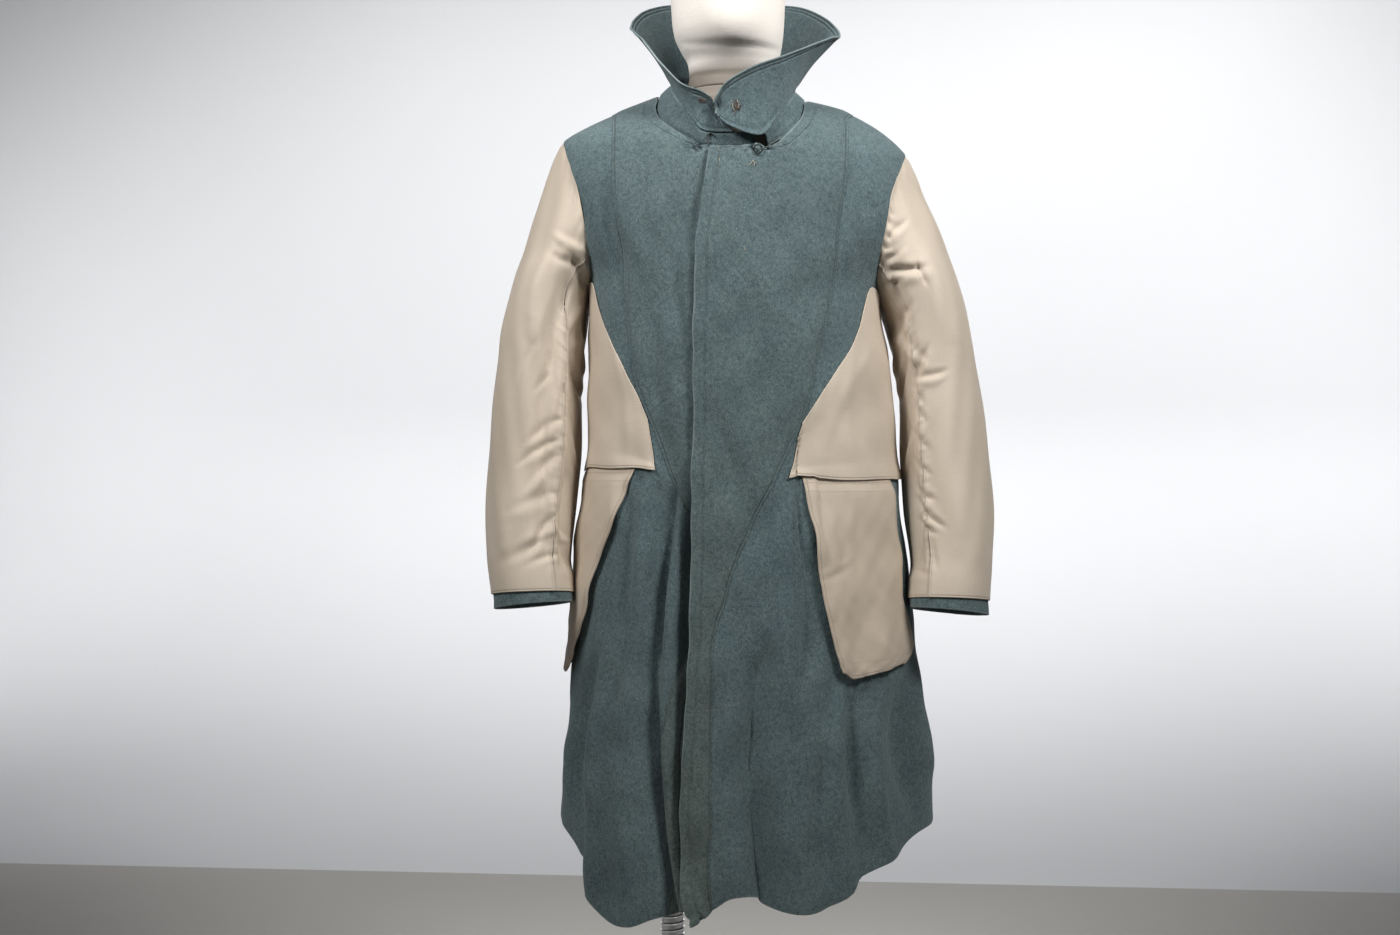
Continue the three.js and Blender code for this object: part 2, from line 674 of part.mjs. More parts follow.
// Fronts: a grid of rows from hem to shoulder seam, with one column along the facing's seam
function frontGrid(layer) {
  const side = layer === "over" ? 1 : -1;
  const edgeX = curve(FRONT_EDGE[layer], "z", "x");
  const seamX = curve(FACING_SEAM[layer], "z", "x");
  const hemLevel = curve(layer === "over" ? HEM_LEFT : HEM_RIGHT, "turn", "z");
  const seamTurn = side * (SIDE_SEAM_TURN - halfGapTurn(SIDE_RADIUS));
  const cornerZ = layer === "over" ? HEM_LEFT[0].z : HEM_RIGHT[HEM_RIGHT.length - 1].z;
  const hemCorner = turnAtX(edgeX(cornerZ), cornerZ, layer);

  // Each row maps a share s, from front edge to side, to a turn and a level.
  const rows = [];
  for (let r = 0; r <= SKIRT_ROWS; r += 1) {
    rows.push((s) => {
      const hem = hemLevel(mix(hemCorner, seamTurn, s));
      const z = mix(hem, WAIST, r / SKIRT_ROWS);
      return { turn: mix(turnAtX(edgeX(z), z, layer), seamTurn, s), z };
    });
  }
  for (const z of MIDDLE_ROWS) {
    const start = turnAtX(edgeX(z), z, layer);
    rows.push((s) => ({ turn: mix(start, seamTurn, s), z }));
  }
  const stations = STATIONS.slice().reverse();
  stations.forEach((station, k) => {
    const from = FRONT_ROWS[layer][k];
    const x = from.x ?? edgeX(from.z);
    const top = k === stations.length - 1;
    const start = top ? side * (90 - shoulderGap(from.z, side)) : turnAtX(x, from.z, layer);
    const end = station === 180 ? { turn: seamTurn, z: from.z } : armholePoint(station, side);
    if (top) end.turn = side * (90 - shoulderGap(end.z, side));
    rows.push((s) => ({ turn: mix(start, end.turn, s), z: mix(from.z, end.z, s) }));
  });

  // On each row the facing's seam lies where the row crosses it.
  return rows.map((row) => {
    const share = solve(
      (s) => {
        const { turn, z } = row(s);
        return side * (bodyPoint(turn, z, layer).x - seamX(z));
      },
      0,
      0.02,
      0.98,
    );
    const at = [];
    for (let i = 0; i <= FACING_COLUMNS; i += 1) at.push(row((share * i) / FACING_COLUMNS));
    for (let i = 1; i <= FRONT_COLUMNS; i += 1) at.push(row(mix(share, 1, i / FRONT_COLUMNS)));
    return at;
  });
}

// Half a shoulder seam's gap as a turn
function shoulderGap(z, side) {
  return halfGapTurn(side > 0 ? reach.left(z) - MIDLINE : MIDLINE - reach.right(z));
}

function gridWall(grid, layer, firstColumn, lastColumn, lift, thickness) {
  const at = (i, j) => {
    const { turn, z } = grid[j][firstColumn + i];
    return bodyFrame(turn, z, layer, panelLift(layer, turn) + lift);
  };
  return wall(at, lastColumn - firstColumn, grid.length - 1, thickness);
}

const LAST_FRONT_COLUMN = FACING_COLUMNS + FRONT_COLUMNS;
const FACING_LIFT = WOOL / 2 + LAYER_GAP + FACING / 2;
for (const [layer, name] of [
  ["over", "left"],
  ["under", "right"],
]) {
  const grid = frontGrid(layer);
  add("front_" + name, gridWall(grid, layer, 0, LAST_FRONT_COLUMN, 0, WOOL), WOOL_FINISH);
  add("facing_" + name, gridWall(grid, layer, 0, FACING_COLUMNS, FACING_LIFT, FACING), WOOL_FINISH);
}

// Backs: rows from hem to shoulder seam, from the side seam to the centre back seam
function backGrid(side) {
  const hemLevel = curve(side > 0 ? HEM_LEFT : HEM_RIGHT, "turn", "z");
  const seamTurn = side * (SIDE_SEAM_TURN + halfGapTurn(SIDE_RADIUS));
  const centre = side * (180 - halfGapTurn(BACK_RADIUS));
  const rows = [];
  for (let r = 0; r <= SKIRT_ROWS; r += 1) {
    rows.push((s) => {
      const turn = mix(seamTurn, centre, s);
      return { turn, z: mix(hemLevel(turn), WAIST, r / SKIRT_ROWS) };
    });
  }
  for (const z of MIDDLE_ROWS) rows.push((s) => ({ turn: mix(seamTurn, centre, s), z }));
  const stations = STATIONS.slice().reverse();
  const neckRows = BACK_NECK_TURNS.length;
  const straight = stations.length - neckRows;
  stations.forEach((station, k) => {
    const top = k === stations.length - 1;
    const start = station === 180 ? { turn: seamTurn, z: ARMPIT } : armholePoint(360 - station, side);
    let endTurn = centre;
    let endZ = mix(ARMPIT, BACK_NECK, k / straight);
    if (k >= straight) {
      endTurn = Math.min(BACK_NECK_TURNS[k - straight], Math.abs(centre)) * side;
      endZ = BACK_NECK;
    }
    if (top) {
      start.turn = side * (90 + shoulderGap(start.z, side));
      endTurn = side * (90 + shoulderGap(BACK_NECK, side));
    }
    rows.push((s) => ({ turn: mix(start.turn, endTurn, s), z: mix(start.z, endZ, s) }));
  });
  return rows.map((row) => {
    const at = [];
    for (let i = 0; i <= BACK_COLUMNS; i += 1) at.push(row(i / BACK_COLUMNS));
    return at;
  });
}
add("back_left", gridWall(backGrid(1), "back", 0, BACK_COLUMNS, 0, WOOL), WOOL_FINISH);
add("back_right", gridWall(backGrid(-1), "back", 0, BACK_COLUMNS, 0, WOOL), WOOL_FINISH);

// Side linings: from the facing's seam round to the back, down to the waist
function sideLining(name, side) {
  const shape = LININGS[name];
  const top = curve(shape.edge, "turn", "z");
  const end = shape.edge[shape.edge.length - 1].turn;
  const at = (i, j) => {
    const gap = j === 0 ? LINING_HEM_GAP : LINING_GAP;
    const lift = WOOL / 2 + gap + LINING / 2;
    const across = i / LINING_COLUMNS;
    const topTurn = mix(shape.edge[0].turn, end, across);
    const turn = mix(mix(shape.corner, end, across), topTurn, j / LINING_ROWS);
    const z = mix(shape.bottom, top(topTurn), j / LINING_ROWS);
    const layer = side > 0 ? "over" : "under";
    return bodyFrame(side * turn, z, layer, panelLift(layer, side * turn) + lift);
  };
  return wall(at, LINING_COLUMNS, LINING_ROWS, LINING);
}
add("side_lining_left", sideLining("left", 1), SATIN_FINISH);
add("side_lining_right", sideLining("right", -1), SATIN_FINISH);

// Pocket bags: flat bags that hang from the waist over the skirt
function pocketBag(name, side) {
  const rows = POCKET_BAGS[name];
  const layer = side > 0 ? "over" : "under";
  const lift = WOOL / 2 + BAG_GAP + POCKET_BAG / 2;
  const at = (i, j) => {
    const row = rows[j];
    const turn = side * mix(row.front, row.back, i / BAG_COLUMNS);
    const z = mix(row.zFront, row.zBack, i / BAG_COLUMNS);
    return bodyFrame(turn, z, layer, panelLift(layer, turn) + lift);
  };
  const edge = (i, j) => {
    const rim = i === 0 || i === BAG_COLUMNS || j === rows.length - 1;
    return rim ? POCKET_BAG / 2 : POCKET_BAG;
  };
  return wall(at, BAG_COLUMNS, rows.length - 1, edge);
}
add("pocket_bag_left", pocketBag("left", 1), TWILL_FINISH);
add("pocket_bag_right", pocketBag("right", -1), TWILL_FINISH);

// Sleeves: paths that leave the armhole's oval and run down to the cuff
function sleeveSurface(name, side) {
  const shape = Object.fromEntries(
    ["outer", "inner", "middle", "deep"].map((column) => [column, curve(SLEEVES[name], "z", column)]),
  );
  const section = (angle, z) => {
    const centre = (shape.outer(z) + shape.inner(z)) / 2;
    const half = (shape.outer(z) - shape.inner(z)) / 2;
    const x = centre + half * Math.cos(angle);
    const y = shape.middle(z) - shape.deep(z) * Math.sin(angle);
    return new THREE.Vector3(x, y, z);
  };
  const starts = new Map();
  const startAt = (station) => {
    if (!starts.has(station)) {
      const { turn, z } = armholePoint(station, side);
      const point = bodyPoint(turn, z, "plain");
      const under = Math.pow((1 - Math.cos(radians(station))) / 2, 2);
      point.x += side * (HEAD_GAP + ARMPIT_GAP * under);
      starts.set(station, point);
    }
    return starts.get(station);
  };
  return (station, share) => {
    const angle = radians(station);
    const start = startAt(station);
    const end = CUFF_END[name] - CUFF_SLANT * Math.cos(angle);
    const z = mix(start.z, end, share);
    const point = section(angle, z);
    const off = start.clone().sub(section(angle, start.z));
    return point.addScaledVector(off, 1 - smooth(share / HEAD_BLEND));
  };
}

function sleeveStations(first, last) {
  const hind = STATIONS.slice(1, -1).map((s) => 360 - s);
  const around = [...STATIONS, ...hind.reverse()];
  const all = [...around.map((s) => s - 360), ...around];
  return all.filter((s) => s >= first && s <= last);
}

function sleeve(name, side) {
  const surface = sleeveSurface(name, side);
  const length = ARMHOLE.middle - CUFF_END[name];
  const seam = halfGapTurn(SLEEVE_RADIUS);
  const liningShare = 1 - CUFF_BAND / length;
  const share = (j) => (j / SLEEVE_ROWS) * liningShare;
  const piece = (first, last) => {
    const stations = sleeveStations(first, last);
    stations[0] += seam;
    stations[stations.length - 1] -= seam;
    const at = (i, j) => {
      const station = stations[i];
      const s = share(j);
      const frame = framed(surface, station, Math.max(s, 0.004), 0.5, 0.003);
      frame.point = surface(station, s);
      if (side < 0) frame.normal.negate();
      return frame;
    };
    return wall(at, stations.length - 1, SLEEVE_ROWS, LINING);
  };
  add("sleeve_top_" + name, piece(HIND_SEAM - 360, FORE_SEAM), SATIN_FINISH);
  add("sleeve_under_" + name, piece(FORE_SEAM, HIND_SEAM), SATIN_FINISH);

  const cuffInset = LINING / 2 + CUFF_GAP + WOOL / 2;
  const around = sleeveStations(0, 359);
  const cuffShares = [1 - (CUFF_BAND + CUFF_TUCK) / length, liningShare, 1];
  const at = (i, j) => {
    const frame = framed(surface, around[i], cuffShares[j], 0.5, 0.003);
    if (side < 0) frame.normal.negate();
    frame.point.addScaledVector(frame.normal, -cuffInset);
    return frame;
  };
  add("cuff_" + name, sleeveWall(at, around.length, 2, WOOL), WOOL_FINISH);
}
sleeve("left", 1);
sleeve("right", -1);

// Collar: a stand on the neckline and a turned-up fall that flares away from it
function collarLine(name, prefix) {
  const table = COLLAR[name].map((row, k) => ({ ...row, k }));
  const part = ["x", "y", "z"].map((axis) => curve(table, "k", prefix + axis));
  return (k) => new THREE.Vector3(part[0](k), part[1](k), part[2](k));
}
function collar(name, side) {
  const neck = collarLine(name, "n");
  const fold = collarLine(name, "f");
  const edge = collarLine(name, "e");
  const last = COLLAR[name].length - 1;
  const standFrom = STAND_STATION[name];
  const standSurface = (k, t) => {
    const low = neck(mix(0, last, (k - standFrom) / (last - standFrom)));
    return low.lerp(fold(k), t);
  };
  const fallSurface = (k, t) => {
    const point = fold(k).lerp(edge(k), t);
    const middle = new THREE.Vector3(MIDLINE, COLLAR_CENTRE, point.z);
    const inward = middle.sub(point).setZ(0).normalize();
    return point.addScaledVector(inward, FALL_BOW * Math.sin(Math.PI * t));
  };
  const band = (surface, start, rise) => {
    const at = (i, j) => {
      const k = mix(start, last - COLLAR_BACK_GAP, i / COLLAR_COLUMNS);
      const t = mix(rise.from, rise.to, j / rise.rows);
      const frame = framed(surface, clamp(k, 0.02, last - 0.02), t, 0.015, 0.02);
      frame.point = surface(k, t);
      if (side < 0) frame.normal.negate();
      return frame;
    };
    return wall(at, COLLAR_COLUMNS, rise.rows, WOOL);
  };
  add("collar_stand_" + name, band(standSurface, standFrom, STAND_RISE[name]), WOOL_FINISH);
  add("collar_fall_" + name, band(fallSurface, FALL_STATION[name], FALL_RISE), WOOL_FINISH);
}
collar("left", 1);
collar("right", -1);

// Collar hook and eye: a bent wire and a ring
const hookPath = new THREE.CatmullRomCurve3(HOOK.map((p) => new THREE.Vector3(p.x, p.y, p.z)));
const hook = new THREE.ExtrudeGeometry(new THREE.Shape().absarc(0, 0, WIRE / 2, 0, 2 * Math.PI), {
  extrudePath: hookPath,
  steps: 12,
  curveSegments: 4,
  bevelEnabled: false,
});
add("collar_hook", hook, BLACK_FINISH);
const eye = new THREE.TorusGeometry(EYE.radius, WIRE / 2, 6, 16);
eye.rotateX(Math.PI / 2);
eye.translate(EYE.x, EYE.y, EYE.z);
add("collar_eye", eye, BLACK_FINISH);

// Dress form: a torso inside the coat with its neck, and a smooth head above
function formRing(z) {
  const inset = curve(FORM_INSET, "z", "in")(z);
  const ring = [];
  for (let i = 0; i < FORM_COLUMNS; i += 1) {
    const turn = (360 * i) / FORM_COLUMNS - 180;
    const { point } = bodyFrame(turn, z, "plain", -inset);
    ring.push(z < FORM_LEVEL_BELOW ? point.setZ(z) : point);
  }
  return ring;
}
function ovalRing({ z, wide, front, back, x }) {
  const ring = [];
  for (let i = 0; i < FORM_COLUMNS; i += 1) {
    const turn = radians((360 * i) / FORM_COLUMNS - 180);
    const deep = Math.cos(turn) > 0 ? -front : back;
    ring.push(new THREE.Vector3(x + wide * Math.sin(turn), -deep * Math.cos(turn), z));
  }
  return ring;
}
const neckRings = [
  { z: 1452, wide: 82, front: -66, back: 66, x: -6 },
  { z: 1458, wide: 70, front: -64, back: 61, x: -5 },
  { z: NECK_TOP, wide: 65, front: -62, back: 58, x: -4 },
];
add("form_torso", stacked([...FORM_LEVELS.map(formRing), ...neckRings.map(ovalRing)]), LINEN_FINISH);
add("form_head", stacked(HEAD.map(ovalRing)), LINEN_FINISH);

// Stand: a pole, off the middle, and a round base plate
const poleFoot = BASE.thick + SEAM_GAP;
const poleTop = FORM_LEVELS[0] - SEAM_GAP;
const pole = new THREE.CylinderGeometry(POLE.radius, POLE.radius, poleTop - poleFoot, 20);
pole.rotateX(Math.PI / 2);
pole.translate(POLE.x, POLE.y, (poleTop + poleFoot) / 2);
add("stand_pole", pole, CHROME_FINISH);
const profile = [
  new THREE.Vector2(0, 0),
  new THREE.Vector2(BASE.radius, 0),
  new THREE.Vector2(BASE.radius, BASE.thick - BASE.edge),
  new THREE.Vector2(BASE.radius - BASE.edge, BASE.thick),
  new THREE.Vector2(0, BASE.thick),
];
const plate = new THREE.LatheGeometry(profile, 48);
plate.rotateX(Math.PI / 2);
add("stand_base", plate, STEEL_FINISH);

export default overcoat;
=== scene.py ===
"""A long wool overcoat turned inside out on a limbless dress form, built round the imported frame."""

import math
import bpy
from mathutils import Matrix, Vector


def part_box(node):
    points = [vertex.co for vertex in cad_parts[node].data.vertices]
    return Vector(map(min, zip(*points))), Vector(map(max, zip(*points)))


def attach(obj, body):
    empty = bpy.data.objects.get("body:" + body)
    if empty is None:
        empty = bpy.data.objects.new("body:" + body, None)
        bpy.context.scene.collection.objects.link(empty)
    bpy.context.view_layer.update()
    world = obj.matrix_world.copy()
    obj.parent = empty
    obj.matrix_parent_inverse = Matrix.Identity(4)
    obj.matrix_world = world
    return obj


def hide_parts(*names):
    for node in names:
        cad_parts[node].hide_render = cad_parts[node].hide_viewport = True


bl_info = {
    "name": "Overcoat on a dress form",
    "version": (1, 0, 0),
    "blender": (4, 5, 0),
    "location": "View3D > Sidebar > Overcoat",
    "description": "Builds the cloth, the stitching, the dress form and its stand round the CAD frame",
    "category": "Object",
}

import bpy
import numpy as np
from bpy.props import FloatProperty, FloatVectorProperty, PointerProperty
from bpy.types import Operator, Panel, PropertyGroup
from mathutils import Vector
from mathutils.bvhtree import BVHTree

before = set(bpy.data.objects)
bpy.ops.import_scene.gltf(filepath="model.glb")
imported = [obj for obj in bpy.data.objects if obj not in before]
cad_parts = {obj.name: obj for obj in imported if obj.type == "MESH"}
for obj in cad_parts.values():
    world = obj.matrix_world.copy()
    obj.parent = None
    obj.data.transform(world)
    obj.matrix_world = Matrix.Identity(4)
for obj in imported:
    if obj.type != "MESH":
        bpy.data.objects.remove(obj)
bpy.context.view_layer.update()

# The cloth's tables are in millimetres, as in the part's source, and MM makes them metres.
# The coat's front faces -Y. Left and right are the wearer's, so left is +X and its front lies on top.
MM = 0.001
MIDLINE = -5
SHOULDER_DROP = 0.04
WAIST = 960
SIDE_SEAM_TURN = 100
OVERLAP_LIFT = 8
SEAM_GAP = 0.5
BACK = "back"
UNDER = "under"
OVER = "over"


def columns(names, rows):
    """A short table as one array for each named column."""
    return dict(zip(names.split(), np.array(rows, float).T))


# Level sections of the coat from hem to neck
SECTIONS = columns("z right left front back square", [
    (360, -236, 266, -152, 160, 2.3), (500, -233, 260, -148, 152, 2.3), (580, -229, 256, -144, 145, 2.3),
    (680, -222, 246, -138, 136, 2.35), (770, -216, 236, -134, 128, 2.4), (880, -208, 223, -130, 121, 2.45),
    (985, -199, 212, -127, 116, 2.5), (1100, -197, 203, -127, 116, 2.5), (1195, -197, 188, -126, 117, 2.5),
    (1215, -200, 191, -126, 118, 2.5), (1245, -216, 206, -125, 118, 2.5), (1296, -243, 232, -122, 118, 2.4),
    (1340, -251, 239, -117, 112, 2.3), (1378, -243, 234, -109, 99, 2.2), (1393, -231, 226, -103, 93, 2.1),
    (1413, -198, 205, -93, 87, 2), (1430, -163, 179, -80, 82, 2), (1445, -129, 145, -64, 79, 2),
    (1456, -104, 92, -50, 77, 2),
])

# The largest folds: layer, the levels where each starts and is full, its turn there and at the hem,
# its half width in degrees, and its depth there and at the hem (over 0 is a ridge)
FOLDS = [
    ("under", 960, 700, -41, -45, 17, 12, 13), ("under", 975, 840, -19, -20, 18, -34, -16),
    ("under", 790, 500, -74, -77, 15, -20, -30), ("over", 800, 560, 8, 14, 13, -10, -18),
    ("over", 900, 640, 30, 31, 13, 10, 10), ("over", 700, 520, 44, 46, 8, 6, 10),
    ("over", 760, 520, 70, 76, 15, -14, -28), ("over", 470, 385, -24, -20, 9, 12, 14),
    ("all", 760, 520, -108, -110, 24, 14, 22), ("all", 760, 520, 104, 107, 24, 16, 24),
    ("back", 820, 560, -138, -134, 13, -14, -24), ("back", 860, 560, -156, -157, 14, 10, 18),
    ("back", 900, 560, 180, 180, 12, -10, -22), ("back", 860, 600, 158, 155, 13, 12, 20),
    ("back", 800, 540, 134, 131, 13, -12, -22),
]
FOLD_END = 380

# The hem's level round the coat, and the front edges and facing seams by level
HEM = {
    UNDER: columns("turn z", [
        (-180, 492), (-150, 502), (-128, 500), (-112, 505), (-100, 488), (-86, 468), (-74, 436), (-63, 394),
        (-54, 374), (-44, 369), (-36, 380), (-24, 390),
    ]),
    OVER: columns("turn z", [
        (-20, 374), (-8, 397), (4, 410), (15, 402), (30, 389), (44, 401), (54, 430), (66, 448), (80, 472),
        (95, 481), (107, 494), (125, 502), (150, 496), (180, 492),
    ]),
}
FRONT_EDGE = {
    OVER: columns("z x", [
        (374, -62), (405, -70), (443, -74), (583, -70), (684, -65), (868, -61), (1090, -58), (1213, -57),
        (1296, -49), (1374, -38),
    ]),
    UNDER: columns("z x", [
        (390, -62), (616, -62), (700, -46), (777, -12), (893, 18), (1000, 27), (1374, 20),
    ]),
}
FACING_SEAM = {
    OVER: columns("z x", [
        (380, -33), (443, -38), (716, -33), (777, -19), (834, -4), (928, 38), (999, 71), (1028, 86),
        (1086, 98), (1151, 113), (1214, 124), (1337, 140), (1450, 148),
    ]),
    UNDER: columns("z x", [
        (380, -94), (616, -97), (680, -82), (777, -47), (834, -46), (893, -63), (937, -85), (974, -98),
        (1028, -119), (1064, -132), (1149, -145), (1214, -153), (1326, -163), (1450, -166),
    ]),
}

# Each armhole is an oval seen from the side, and its stations run from the shoulder (0) to the armpit (180).
ARMHOLE = {"middle": 1294, "tall": 99, "centre": 3, "deep": 80}
ARMPIT = ARMHOLE["middle"] - ARMHOLE["tall"]
STATIONS = [0, 6, 12, 18, 27, 36, 54, 72, 90, 108, 126, 144, 162, 180]
MIDDLE_ROWS = [1010, 1060, 1110, 1155]
SKIRT_ROWS = 10
# Where the upper rows of each front start: up the front edge, then along the neckline (level, X)
EDGE_ROWS = [1195, 1220, 1248, 1278, 1306, 1332, 1354, 1374]
NECK_ROWS = {
    OVER: [(1376, 36), (1392, 60), (1416, 79), (1437, 87), (1449, 90), (1456, 91)],
    UNDER: [(1376, -40), (1390, -72), (1410, -99), (1432, -108), (1446, -106), (1456, -103)],
}
BACK_NECK_TURNS = [180, 170, 155, 138, 120, 104, 90]
BACK_NECK = 1457

# The side linings: waist edge, front corner, and the edge from there under the arm to the back
LININGS = {
    OVER: (
        945, 28,
        columns("turn z", [
            (35.5, 1018), (42, 1049), (50, 1086), (58, 1127), (65, 1176), (71, 1205), (78, 1201),
            (84, 1191), (90, 1187), (97, 1190), (110, 1192), (118, 1158), (130, 1095), (142, 1030),
        ]),
    ),
    UNDER: (
        958, 41,
        columns("turn z", [
            (45.4, 1022), (49.5, 1053), (56, 1092), (64.5, 1134), (70, 1168), (75, 1196), (80, 1200),
            (85, 1191), (90, 1187), (97, 1190), (110, 1192), (118, 1160), (130, 1100), (142, 1034),
        ]),
    ),
}

# The pocket bags, a row for each level down the bag
BAGS = {
    OVER: columns("front back z_front z_back", [
        (35.5, 73, 948, 948), (37.2, 73, 890, 895), (38.4, 73.5, 840, 846), (40.2, 73.5, 790, 798),
        (42.6, 75, 745, 756), (44.8, 77, 712, 724), (46.6, 72, 694, 702),
    ]),
    UNDER: columns("front back z_front z_back", [
        (50, 93, 961, 961), (55, 97, 905, 908), (60, 101, 860, 862), (64, 104, 812, 812),
        (69, 106, 765, 762), (75, 105, 722, 718), (81, 99, 696, 692),
    ]),
}

# The sleeves by level
SLEEVES = {
    UNDER: columns("z outer inner middle deep", [
        (766, -326, -215, -57, 54), (785, -326, -216, -55, 54), (814, -330, -219, -50, 56),
        (849, -335, -219, -42, 58), (900, -336, -216, -33, 60), (963, -333, -210, -22, 62),
        (1042, -328, -207, -13, 65), (1100, -323, -206, -8, 67), (1145, -319, -206, -4, 70),
        (1195, -307, -205, 0, 74), (1222, -299, -187, 1, 76), (1252, -288, -160, 2, 78),
        (1296, -278, -130, 3, 80), (1340, -266, -122, 3, 80), (1370, -256, -115, 3, 80),
        (1400, -240, -110, 3, 80),
    ]),
    OVER: columns("z outer inner middle deep", [
        (762, 334, 225, -62, 54), (785, 334, 226, -59, 54), (810, 336, 228, -54, 56),
        (845, 340, 228, -45, 58), (900, 342, 223, -34, 60), (963, 338, 220, -22, 62),
        (1036, 331, 218, -13, 65), (1088, 324, 213, -8, 67), (1138, 317, 207, -4, 70),
        (1180, 309, 200, 0, 74), (1215, 298, 182, 1, 76), (1245, 287, 156, 2, 78), (1288, 274, 122, 3, 80),
        (1330, 257, 112, 3, 80), (1362, 247, 106, 3, 80), (1390, 234, 100, 3, 80),
    ]),
}
CUFF_END = {UNDER: 777, OVER: 769}
CUFF_SLANT = 5
CUFF_BAND = 16
CUFF_TUCK = 22
CUFF_GAP = 1.1
HEAD_GAP = -0.5
ARMPIT_GAP = 2.4
HEAD_BLEND = 0.26
FORE_SEAM = 126
HIND_SEAM = 252

# The collar by station, front end to centre back: neck seam (n), fold of the turned-up fall (f) and
# outer edge (e)
COLLAR = {
    UNDER: columns("nx ny nz fx fy fz ex ey ez", [
        (20, -110, 1378, 20, -110, 1397, -29, -117, 1437),
        (-40, -109, 1379, -42, -111, 1398, -50, -118, 1450),
        (-62, -103, 1391, -60, -107, 1417, -76, -115, 1461),
        (-87, -90, 1407, -76, -88, 1440, -108, -92, 1499),
        (-106, -64, 1431, -84, -60, 1457, -126, -62, 1528),
        (-106, -30, 1452, -87, -30, 1470, -139, -30, 1546), (-102, 3, 1465, -86, 6, 1481, -143, 8, 1563),
        (-92, 36, 1464, -75, 38, 1487, -128, 48, 1590), (-58, 67, 1462, -48, 62, 1491, -88, 88, 1609),
        (-5, 80, 1461, -5, 73, 1492, -5, 106, 1613),
    ]),
    OVER: columns("nx ny nz fx fy fz ex ey ez", [
        (38, -110, 1380, -31, -124, 1419, -33, -125, 1432),
        (44, -108, 1385, -10, -126, 1401, -18, -128, 1457),
        (60, -102, 1396, 29, -121, 1391, 16, -128, 1478), (77, -86, 1414, 50, -106, 1417, 56, -114, 1495),
        (89, -56, 1436, 65, -80, 1440, 92, -86, 1514), (91, -28, 1450, 73, -45, 1457, 124, -46, 1534),
        (90, 3, 1458, 76, -5, 1470, 139, -8, 1545), (80, 36, 1459, 66, 34, 1481, 126, 38, 1576),
        (48, 67, 1460, 40, 61, 1489, 84, 85, 1606), (-5, 80, 1461, -5, 73, 1492, -5, 106, 1613),
    ]),
}
STAND_STATION = {UNDER: 0, OVER: 2.2}
FALL_STATION = {UNDER: 0.4, OVER: 0}
COLLAR_CENTRE = -10
FALL_BOW = 5

# Creases pressed or pulled into the body's cloth: turn and level of both ends, half width and depth in mm
CREASES = {
    OVER: [
        (34, 1350, 30, 1255, 26, -4.5), (14, 1368, 22, 1300, 16, -3), (58, 1330, 62, 1225, 18, -3.5),
        (76, 1330, 74, 1250, 9, -2.5), (40, 1010, 22, 900, 20, -3), (46, 900, 47, 600, 12, -4),
        (58, 760, 62, 560, 12, 4), (36, 880, 38, 640, 9, 3), (-6, 760, -10, 560, 16, 2.5),
        (20, 1180, 26, 1020, 24, 2.5),
    ],
    UNDER: [
        (-30, 1345, -26, 1235, 24, -5), (-46, 1365, -40, 1300, 14, -3), (-20, 1200, -14, 1000, 22, -5),
        (-62, 1300, -60, 1200, 16, -3), (-44, 1020, -30, 930, 16, -3), (-55, 940, -56, 640, 12, -6),
        (-36, 900, -37, 620, 9, 5), (-64, 760, -68, 560, 10, 4),
    ],
    BACK: [
        (178, 1400, 176, 1250, 34, -4), (-150, 1380, -158, 1240, 20, -3), (150, 1380, 156, 1230, 22, -3.5),
        (126, 1240, 140, 1120, 18, -3), (-126, 1240, -142, 1110, 18, -3), (170, 1060, 150, 960, 22, -3),
        (-168, 1040, -146, 970, 20, -3), (-172, 880, -170, 600, 12, 4), (168, 900, 167, 640, 12, 4),
        (145, 700, 146, 540, 10, 4), (-146, 720, -146, 540, 10, 4),
    ],
}
DEGREE = 3.5  # millimetres of cloth for a degree of turn
# Slow unevenness of the body's cloth: waves for a metre round and up, the phase, and the height in mm
RIPPLES = [(9, 5, 0.4, 0.9), (-6, 11, 2.1, 0.8), (14, -7, 4.0, 0.5), (21, 16, 1.3, 0.3)]

# Creases that the camera sees are placed by the pixels of a view 1400 wide and 935 high: both ends,
# and then the half width and the depth in mm (over 0 is a ridge)
PIXEL = 1.32
SKIRT_CREASES = {
    UNDER: [
        (676, 500, 681, 930, 15, -30), (655, 470, 664, 720, 11, 9), (663, 640, 668, 920, 9, 6),
        (612, 690, 598, 910, 20, 8), (640, 600, 630, 880, 18, 6), (600, 650, 588, 820, 10, -13),
        (578, 700, 572, 800, 10, 6), (655, 330, 668, 440, 16, -6), (640, 150, 650, 240, 18, -5),
        (681, 190, 684, 330, 14, -8), (606, 175, 612, 240, 10, -4), (700, 140, 690, 170, 8, -5),
        (655, 190, 662, 300, 20, 3),
    ],
    OVER: [
        (768, 650, 765, 915, 23, -14), (795, 480, 801, 720, 16, 9), (724, 620, 714, 900, 17, 5),
        (842, 690, 852, 890, 15, 10), (880, 690, 892, 850, 10, 9), (862, 680, 872, 850, 9, -11),
        (907, 680, 915, 810, 14, -16), (930, 700, 938, 790, 10, 5), (815, 600, 808, 860, 15, -7),
        (830, 740, 824, 880, 10, -5), (722, 425, 752, 520, 20, -4), (776, 165, 782, 245, 20, -6),
        (856, 150, 872, 215, 10, -5), (845, 190, 838, 260, 12, -3), (800, 440, 806, 560, 8, -5),
        (812, 480, 818, 560, 7, 4), (760, 230, 790, 330, 22, 3.5), (735, 180, 728, 330, 18, 2.5),
    ],
}
